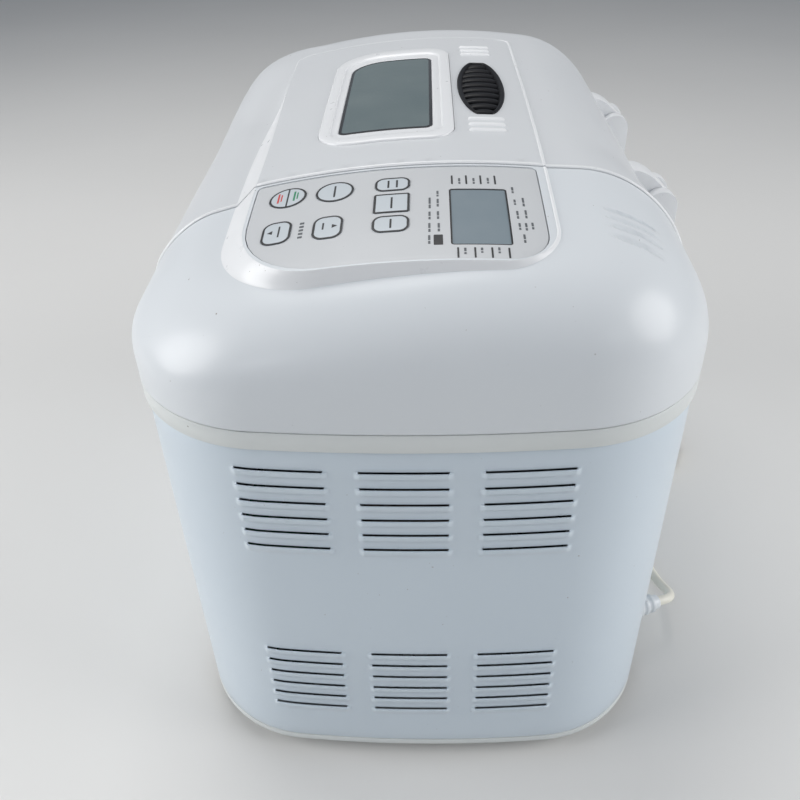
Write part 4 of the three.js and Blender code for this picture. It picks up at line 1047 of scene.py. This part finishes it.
def vent_loop(grow, count=72):
    """A blunt-ended oval."""
    reach = VENT_HALF + grow
    points = []
    for i in range(count):
        a = TURN * (i + 0.5) / count
        x = min(max((VENT_ROUND + grow) * math.cos(a), -reach), reach)
        points.append((VENT_X + x, VENT_Y + (VENT_WIDE + grow) * math.sin(a)))
    return points


def make_lip():
    """The rounded lip along the lid's seam."""
    x, side, count = LID_X - 1.2, HALF_DEPTH + PROUD - 1.1, 120
    path = []
    for i in range(count + 1):
        y = -side + 2 * side * (0.5 - 0.5 * math.cos(math.pi * i / count))
        flat = PANEL[2] + 5 < y < PANEL[3]
        z = panel_height(x, y) if flat else dome_height(x, y)
        path.append((x, y, z - 0.1))
    foot = LID_BOTTOM + 1.5
    path = [(x, -side, foot), (x, -side, 236), *path[1:-1], (x, side, 231), (x, side, foot)]
    # The lip is painted in the brighter lit white, a painted highlight along the seam.
    build(tube(path, 1.05, 12), "lid_lip", LIT_WHITE, "lid", sharp=60)


def make_window():
    edge, eased, top = (rounded_rect(BEZEL, grow, 12, 18) for grow in (0, -0.5, -1.3))
    inner = rounded_rect(GLASS, 0.0, 12, 18)

    def between(share):
        return [(a[0] + (b[0] - a[0]) * share, a[1] + (b[1] - a[1]) * share) for a, b in zip(top, inner)]

    rings = [(edge, -1.4), (edge, 0.5), (eased, 0.9), (top, 1.08), (between(0.40), 1.05),
             (between(0.47), 0.85), (between(0.5), 0.25), (between(0.55), 0.12), (between(0.86), 0.3),
             (between(0.94), 0.28), (inner, 0.0), (inner, -1.4), (edge, -1.4)]
    ring = Surface().rows([over_panel(loop, h) for loop, h in rings])
    # The bezel is painted in the brighter lit white, a painted highlight.
    build(ring, "bezel_ring", LIT_WHITE, "lid", ["window_bezel"], sharp=50)
    profile = [(-0.3, -1.1), (-0.3, 0.05), (-0.7, 0.2), (-1.6, 0.22)]
    pane = draped(Surface(), [(rounded_rect(GLASS, grow, 8, 16), h) for grow, h in profile])
    build(pane, "window_pane", WINDOW, "lid", ["window_glass"], sharp=60)
    # A black ring along the glass's edge, inside the bezel.
    black_rim = ring_mark(Surface(), GLASS, -1.5, -0.2, 0.0, 0.3)
    build(black_rim, "window_black_rim", GLOSS_BLACK, "lid", sharp=60)


def make_vent():
    rings = [(0, -3.2), (0, 0.5), (-0.4, 0.85), (-1.0, 0.9), (-1.8, 0.5), (-2.4, -0.6), (-3.2, -2.2)]
    dish = draped(Surface(), [(vent_loop(grow), h) for grow, h in rings])
    build(dish, "vent_dish", VENT_BLACK, "lid", ["vent_grille"], sharp=50)
    bars = Surface()
    count, steps, sides = 10, 14, 8
    for i in range(count):
        x = VENT_X + (VENT_HALF - 4.4) * (2 * i / (count - 1) - 1)
        reach = (VENT_WIDE - 1.2) * math.sqrt(1 - ((x - VENT_X) / VENT_ROUND) ** 2)
        rows = []
        for k in range(sides + 1):
            a = math.pi * k / sides
            dx, rise = -3.0 * math.cos(a), 1.3 * math.sin(a)
            row = []
            for t in (-1 + 2 * j / steps for j in range(steps + 1)):
                y = VENT_Y + reach * t
                row.append((x + dx, y, panel_height(x, y) - 2.6 + 1.9 * math.sqrt(1 - t * t * 0.98) + rise))
            rows.append(row)
        bars.rows(rows, closed=False)
        bars.rows([rows[0], rows[-1]], closed=False)
    build(bars, "vent_bars", VENT_BLACK, "lid", sharp=60)


# ---------------------------------------------------------------- hinges


def extruded(surface, profile, x0, x1, holes=(), spacing=60):
    """Extrudes a profile drawn in (y, z) along X."""
    for loop in (profile, *holes):
        surface.rows([across(loop, x) for x in (x0, x1)])
    for x in (x0, x1):
        surface.patch(profile, lambda y, z, x=x: (x, y, z), holes, spacing)
    return surface


def make_hinges():
    front, foot = 118.3, 226.4
    half, gap = HINGE_WIDTH / 2, HINGE_GAP / 2
    knuckle = arc_points(HINGE_Y, HINGE_Z, KNUCKLE_R, 0, math.pi, 24)
    ear = [(front, foot), (HINGE_BACK_Y, foot), *knuckle, (front, HINGE_Z - 6.5)]
    bridge = [(front, foot), (HINGE_BACK_Y, foot), (HINGE_BACK_Y, 233.5), (front, 233.5)]
    crest = spline([(106.8, 260), (111.5, 259.5), (117, 257), (122.5, 252.6), (126.6, 248.6)], 4)
    arm_profile = [*((p[0], p[1]) for p in crest), *arc_points(HINGE_Y, HINGE_Z, 6.6, 0.55, -math.pi, 24),
                   (108, 252)]
    end, chamfer, pin_r = half - 0.1, half - 0.4, 2.2
    pin_profile = [(-end, 0.0), (-end, 1.9), (-chamfer, pin_r), (chamfer, pin_r), (end, 1.9), (end, 0.0)]
    for i, x in enumerate(HINGE_PLACES, 1):
        block = Surface()
        extruded(block, ear, x - half, x - gap)
        extruded(block, ear, x + gap, x + half)
        extruded(block, bridge, x - gap, x + gap)
        # Seat and arm take the brighter lit white, a painted highlight on the hinges.
        build(block, f"hinge_seat_{i}", LIT_WHITE, "case", [f"hinge_block_{i}"], bevel=0.9,
              segments=3)
        arm = extruded(Surface(), arm_profile[::-1], x - gap + 0.3, x + gap - 0.3)
        build(arm, f"hinge_arm_{i}", LIT_WHITE, "lid", bevel=1.6, segments=4)
        pin = Surface().rows([across(circle(HINGE_Y, HINGE_Z, r, 24), x + dx) for dx, r in pin_profile])
        # The pins are dark brown where they show in the hinge gaps.
        build(pin, f"hinge_rod_{i}", GAP_BROWN, "case", [f"hinge_pin_{i}"])


# ---------------------------------------------------------------- oven and pan
# SEAT_PROFILE is of (radius, height), PAN_PROFILE of (outward offset, height).
PIVOT_Z = 207
SEAT_PROFILE = [(31, 43.6), (40, 43.6), (40, 44.6), (39.4, 45), (37.6, 45.6), (37, 47), (37, 57.4),
                (36.4, 58), (31.6, 58), (31, 57.4), (31, 43.6)]
PAN_PROFILE = [(-5, 62), (-1.6, 62.9), (0, 66), (0, 199.6), (1, 200.1), (2.4, 200), (3, 200.8), (2.9, 202.2),
               (2, 203), (0.6, 203.1), (-0.8, 202.4), (-1.6, 201), (-1.6, 68), (-3.4, 64.8), (-6.6, 63.6)]


def stack(surface, rect, profile, corner=14, edge=10):
    """Skins rounded rectangles at several grows and heights."""
    surface.rows([level(rounded_rect(rect, grow, corner, edge), z) for grow, z in profile])


def centred(length, width, radius):
    return (DRIVE_X - length / 2, DRIVE_X + length / 2, -width / 2, width / 2, radius, radius, radius)


def make_oven():
    chamber = Surface()
    rect = centred(224, 184, 24)
    stack(chamber, rect, [(-1, 219.5), (0, 219.5), (0, 46), (-1.2, 43.3), (-4, 42.3)])
    stack(chamber, rect, [(-1, 219.5), (-1, 47), (-2.2, 44.4), (-5, 43.3)])
    drive_hole = circle(DRIVE_X, 0, 12, 32)
    for grow, z in ((-4, 42.3), (-5, 43.3)):
        chamber.patch(rounded_rect(rect, grow, 14, 10), lambda x, y, z=z: (x, y, z), [drive_hole], 16)
    walls(chamber, drive_hole, 42.3, 43.3)
    build(chamber, "oven_liner", ALUMINIUM, "case", ["oven_chamber"], sharp=50)
    seat = lathe(Surface(), SEAT_PROFILE, DRIVE_X, 0, 64)
    build(seat, "pan_socket", ALUMINIUM, "case", ["pan_seat"])


def make_element():
    """The heating element: a rod bent round the oven, both ends through its near wall."""
    near, far, side, bend, z = DRIVE_X + 103, DRIVE_X - 103, 80, 18, 70
    inset = bend * 0.3
    half = [(82, 14, z), (near + 3.5, 14, z), (near, 23, z), (near, side - bend, z),
            (near - inset, side - inset, z), (near - bend, side, z), (DRIVE_X, side, z),
            (far + bend, side, z), (far + inset, side - inset, z), (far, side - bend, z)]
    route = half + [(x, -y, h) for x, y, h in reversed(half)]
    build(tube(spline(route, 10), 3.25, 14), "heater_rod", STEEL, "case", ["heating_element"],
          sharp=60)


def make_pan():
    rect = centred(195, 125, 28)
    pan = Surface()
    stack(pan, rect, PAN_PROFILE)
    floor, floor_top, spacing = 62, 63.6, 14
    bore, boss = circle(DRIVE_X, 0, 4.6, 40), circle(DRIVE_X, 0, 9, 40)
    for grow, z, hole in ((-5, floor, bore), (-6.6, floor_top, boss)):
        pan.patch(rounded_rect(rect, grow, 14, 10), lambda x, y, z=z: (x, y, z), [hole], spacing)
    lathe(pan, [(4.6, floor), (4.6, 72), (8.2, 72), (9, 71.2), (9, floor_top)], DRIVE_X, 0)
    lathe(pan, [(31, 61.9), (31, 58.3), (36, 58.3), (36, 61.9), (31, 61.9)], DRIVE_X, 0, 64)
    ear = [(-9, 197), (9, 197), (9, 208), *arc_points(4, 208, 5, 0, QUARTER, 6)[1:],
           *arc_points(-4, 208, 5, QUARTER, math.pi, 6)]
    hole = arc_points(0, PIVOT_Z, 3.2, 0, TURN, 20)[:-1]
    for side in (1, -1):
        x = DRIVE_X + side * 97.5
        extruded(pan, ear, x, x + side * 3, [hole], 30)
    build(pan, "pan_body", NON_STICK, "pan", ["bread_pan"], sharp=40)


def make_handle():
    """The pan's bail, lying along one side of the pan between its two pivots."""
    offset, bend, arm_y, stub = 104.5, 9, 60, 98
    inset = bend * 0.3
    arm = [(stub, 0), (offset - 2.6, 0), (offset - 0.5, -1), (offset, -4.5), (offset, bend - arm_y),
           (offset - inset, inset - arm_y), (offset - bend, -arm_y)]
    route = [(DRIVE_X + x, y, PIVOT_Z) for x, y in arm]
    route += [(DRIVE_X - x, y, PIVOT_Z) for x, y in reversed(arm)]
    build(tube(spline(route, 8), 2.2, 16), "handle_wire", STEEL, "handle", ["pan_handle"], sharp=60)


def make_paddle():
    outline = [(0, 74), (46, 74), *arc_points(46, 79, 5, -QUARTER, 0, 8)[1:], (44, 92), (20, 99), (0, 100)]
    fin, faces = Surface(), (-2.5, 2.5)
    fin.rows([[(DRIVE_X + u, y, z) for u, z in outline] for y in faces])
    for y in faces:
        fin.patch(outline, lambda u, z, y=y: (DRIVE_X + u, y, z), spacing=50)
    build(fin, "paddle_fin", NON_STICK, "paddle", bevel=1.1, segments=3)
    hub = lathe(Surface(), [(4.4, 73), (9.4, 73), (10, 73.8), (8.2, 98.6), (7, 100), (0, 100)], DRIVE_X, 0)
    lathe(hub, [(4.4, 73), (4.4, 92.4), (0, 92.4)], DRIVE_X, 0)
    build(hub, "paddle_hub", NON_STICK, "paddle", ["kneading_paddle"], sharp=40)
    shaft = lathe(Surface(), [(0, 57), (4, 57), (4, 91.4), (3.4, 92), (0, 92)], DRIVE_X, 0)
    extruded(shaft, [(-9, 54), (9, 54), (9, 57.8), (-9, 57.8)], DRIVE_X - 2, DRIVE_X + 2)
    build(shaft, "pan_spindle", STEEL, "paddle", ["pan_shaft"], sharp=40)


# ---------------------------------------------------------------- tubes and the mains lead
def spline(points, steps):
    """Centripetal Catmull-Rom curve through the points, as many steps between each two."""
    pts = [np.array(p, float) for p in points]
    pts = [2 * pts[0] - pts[1], *pts, 2 * pts[-1] - pts[-2]]
    out = []
    for p0, p1, p2, p3 in zip(pts, pts[1:], pts[2:], pts[3:]):
        t = [0.0]
        for a, b in ((p0, p1), (p1, p2), (p2, p3)):
            t.append(t[-1] + max(np.linalg.norm(b - a), 1e-6) ** 0.5)
        for k in range(steps):
            u = t[1] + (t[2] - t[1]) * k / steps
            a1 = (t[1] - u) / (t[1] - t[0]) * p0 + (u - t[0]) / (t[1] - t[0]) * p1
            a2 = (t[2] - u) / (t[2] - t[1]) * p1 + (u - t[1]) / (t[2] - t[1]) * p2
            a3 = (t[3] - u) / (t[3] - t[2]) * p2 + (u - t[2]) / (t[3] - t[2]) * p3
            b1 = (t[2] - u) / (t[2] - t[0]) * a1 + (u - t[0]) / (t[2] - t[0]) * a2
            b2 = (t[3] - u) / (t[3] - t[1]) * a2 + (u - t[1]) / (t[3] - t[1]) * a3
            out.append((t[2] - u) / (t[2] - t[1]) * b1 + (u - t[1]) / (t[2] - t[1]) * b2)
    out.append(pts[-2])
    return out


def tube(path, radius, sides=14, surface=None):
    """A round tube along a path, closed at both ends; radius may be one number or one per point."""
    surface = surface or Surface()
    radii = radius if hasattr(radius, "__len__") else [radius] * len(path)
    path = [np.array(p, float) for p in path]
    first = path[1] - path[0]
    normal = np.array((0, 0, 1.0)) if abs(first[2]) < 0.9 * np.linalg.norm(first) else np.array((0, 1.0, 0))
    rows = []
    for i, p in enumerate(path):
        along = path[min(i + 1, len(path) - 1)] - path[max(i - 1, 0)]
        along = along / np.linalg.norm(along)
        normal = normal - along * (normal @ along)
        normal = normal / np.linalg.norm(normal)
        other = np.cross(along, normal)
        angles = [TURN * k / sides for k in range(sides)]
        rows.append([tuple(p + radii[i] * (normal * math.cos(a) + other * math.sin(a))) for a in angles])
    surface.rows(rows)
    surface.cap(rows[0])
    surface.cap(rows[-1])
    return surface


def coil_points():
    """Four turns, clockwise from above: lower outer, lower inner, upper inner, upper outer."""
    inner, outer = COIL_RADII
    low, high = COIL_HEIGHTS
    legs = [(outer, low), (inner, low), (inner, high), (outer, high), (outer, high)]
    start, step, ease = 270.0, 10, 50.0
    points = []
    for turn in range(4):
        here, after = legs[turn], legs[turn + 1]
        full_turn = 360 if turn < 3 else 380
        for angle in range(0, full_turn, step):
            share = smooth(angle, 360 - ease, 360)
            radius, z = (a + (b - a) * share for a, b in zip(here, after))
            a = math.radians(start - angle)
            points.append((COIL[0] + radius * math.cos(a), COIL[1] + radius * math.sin(a), z))
    return points


def plug_frame(along, sideways, up):
    c, s = math.cos(PLUG["turn"]), math.sin(PLUG["turn"])
    return (PLUG["x"] + along * c - sideways * s, PLUG["y"] + along * s + sideways * c, PLUG["z"] + up)


BOOT, PLUG_END = PLUG["boot"], PLUG["boot"] + PLUG["length"]
# The plug's grip: place along it, half width and half height.
PLUG_SECTIONS = [
    (0, 3.9, 3.9), (2, 4.1, 4.1), (5, 4.6, 4.6), (6, 4.0, 4.0), (8, 4.1, 4.1), (9, 5.2, 5.2),
    (11, 5.5, 5.5), (12, 4.9, 4.9), (BOOT, 5.4, 5.2), (BOOT + 1.5, 8.4, 6.2), (BOOT + 4, 10.2, 7.1),
    (BOOT + 9, 10.6, 7.4), (BOOT + 15, 9.6, 6.7), (BOOT + 21, 10.4, 7.3), (PLUG_END - 1.2, 10.9, 7.5),
    (PLUG_END, 10.2, 6.9),
]


def make_plug():
    grip, angles = Surface(), [TURN * k / 40 for k in range(40)]
    rows = []
    for u, half_width, half_height in PLUG_SECTIONS:
        power = 2 / (2.0 + 2.2 * smooth(u, BOOT - 1, BOOT + 5))
        ring = [(math.cos(a), math.sin(a)) for a in angles]
        rows.append([plug_frame(u, half_width * math.copysign(abs(c) ** power, c),
                                half_height * math.copysign(abs(s) ** power, s)) for c, s in ring])
    grip.rows(rows)
    grip.cap(rows[0])
    grip.cap(rows[-1])
    return build(grip, "plug_grip", CORD, "case", ["plug_body"], sharp=50)


def make_blade(i, sideways):
    blade = Surface()
    section = [(-0.75, -3.2), (0.75, -3.2), (0.75, 3.2), (-0.75, 3.2)]
    stations = ((PLUG_END - 5.5, 1), (PLUG_END + 15, 1), (PLUG_END + 17, 0.72))
    rows = [[plug_frame(u, sideways + a, b * share) for a, b in section] for u, share in stations]
    blade.rows(rows)
    blade.cap(rows[0])
    blade.cap(rows[-1])
    return build(blade, f"blade_{i}", BRASS, "case", [f"plug_blade_{i}"], bevel=0.3)


def make_tie():
    """The strap round the coil, on its side away from the case."""
    inner, outer = COIL[1] + COIL_RADII[0] - 3.3, COIL[1] + COIL_RADII[1] + 3.3
    rect = (inner, outer, 1.0, 13.1, 3.0, 3.0, 3.0)
    inside, outside = (rounded_rect(rect, grow, 6, 3) for grow in (0, 0.9))
    half = 2.4
    path = ((inside, -half), (outside, -half), (outside, half), (inside, half), (inside, -half))
    tie = Surface().rows([across(loop, COIL[0] + dx) for loop, dx in path])
    return build(tie, "tie_strap", RUBBER, "case", ["cord_tie"], bevel=0.25)


def make_relief():
    """The boot that the lead comes out of, with three ribs, on a round flange."""
    turn, dip = RELIEF["turn"], RELIEF["dip"]
    place = np.array((RELIEF["x"], RELIEF["y"], RELIEF["z"]))
    along = np.array((-math.sin(turn), math.cos(turn) * math.cos(dip), -math.sin(dip)))
    along = along / np.linalg.norm(along)
    stations = [(0, 5.2), (5.4, 5.2)]
    rib = ((0, 0.75), (0.3, 0.9), (1.7, 0.9), (2.0, 0.75), (2.5, 0), (3.8, -0.1))
    for i, r in enumerate((5.2, 4.8, 4.4)):
        stations += [(6 + i * 4.4 + ds, r + dr) for ds, dr in rib]
    stations += [(19.6, 4.1), (20.6, 3.9), (RELIEF["length"], 3.4)]
    relief = tube([place + along * s for s, _ in stations], [r for _, r in stations], 28)
    flange = [(117.2, y, 35.2) for y in (121.3, 121.7, 122.6, 123.3)]
    tube(flange, [8.6, 9.0, 9.0, 8.3], 32, relief)
    build(relief, "relief_boot", WHITE, "case", ["strain_relief"], sharp=50)


def make_cord():
    route = [*LEAD_ROUTE[:-1], (-57, 126.05, 3.4), *coil_points()[1:], plug_frame(-5, 0, 1.0),
             plug_frame(0.5, 0, 0)]
    path = spline(route, 4)
    piece = build(tube(path, CORD_R, 16), "mains_lead", CORD, "case", ["cord_lead", "cord_coil"],
                  sharp=60)
    plug = make_plug()
    blades = [make_blade(i, sideways) for i, sideways in enumerate((-6.35, 6.35), 1)]
    strap = make_tie()
    make_relief()


# ---------------------------------------------------------------- pieces
for make in (make_cord, make_wrap, make_band, make_base, make_cover, make_overlay, make_keys, make_print,
             make_display, make_lid, make_ribs, make_liner, make_lip, make_window, make_vent, make_hinges,
             make_oven, make_element, make_pan, make_handle, make_paddle):
    make()

# ---------------------------------------------------------------- CAD nodes that stay
KEPT = {
    "display_module": GLOSS_BLACK, "control_board": BOARD, "temperature_sensor": STEEL,
    "chassis_plate": STEEL, "bearing_housing": ALUMINIUM, "drive_shaft": STEEL, "drive_dog": STEEL,
    "large_pulley": GLOSS_BLACK, "small_pulley": GLOSS_BLACK, "drive_belt": RUBBER, "motor_body": MOTOR_IRON,
    "motor_shaft": STEEL, "motor_capacitor": GLOSS_BLACK, "power_board": BOARD,
}
for name, finish in KEPT.items():
    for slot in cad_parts[name].material_slots:
        slot.material = finish


# ---------------------------------------------------------------- stage and light
def make_stage():
    floor_paint = material("stage", (0.74, 0.735, 0.72), (0.71, 0.705, 0.69), 0.7, 0.05, cloud=3)
    mesh = bpy.data.meshes.new("floor")
    reach, low = 3.0, -0.0003
    corners = [(-reach, -reach, low), (reach, -reach, low), (reach, reach, low), (-reach, reach, low)]
    mesh.from_pydata(corners, [], [(0, 1, 2, 3)])
    floor = bpy.data.objects.new("floor", mesh)
    floor.data.materials.append(floor_paint)
    bpy.context.scene.collection.objects.link(floor)


def make_light(name, place, target, size, power, color):
    data = bpy.data.lights.new(name, "AREA")
    data.shape, data.size, data.energy, data.color = "DISK", size, power, color
    lamp = bpy.data.objects.new(name, data)
    lamp.location = place
    lamp.rotation_euler = (Vector(target) - Vector(place)).to_track_quat("-Z", "Y").to_euler()
    bpy.context.scene.collection.objects.link(lamp)


make_stage()
world = bpy.data.worlds.new("studio")
bpy.context.scene.world = world
world.use_nodes = True
world.node_tree.nodes["Background"].inputs["Color"].default_value = (0.80, 0.87, 0.97, 1)
world.node_tree.nodes["Background"].inputs["Strength"].default_value = 0.26
WARM, NEUTRAL, COOL = (1.0, 0.985, 0.96), (1.0, 0.99, 0.98), (0.95, 0.97, 1.0)
NEAR_TARGET = (0.1, 0, 0.15)
# place and target in metres, size in metres, power in watts
make_light("top", (-0.5, -0.3, 1.7), (0, 0, 0.2), 1.0, 11, WARM)
make_light("left", (0.35, -1.5, 0.75), NEAR_TARGET, 1.1, 16, NEUTRAL)
make_light("right", (0.35, 1.5, 0.75), NEAR_TARGET, 1.1, 15, NEUTRAL)
make_light("near_left", (1.3, -0.75, 0.9), NEAR_TARGET, 0.25, 0.9, COOL)
make_light("near_right", (1.2, 1.0, 0.8), NEAR_TARGET, 0.25, 0.8, COOL)
bpy.context.scene.view_settings.view_transform = "Standard"
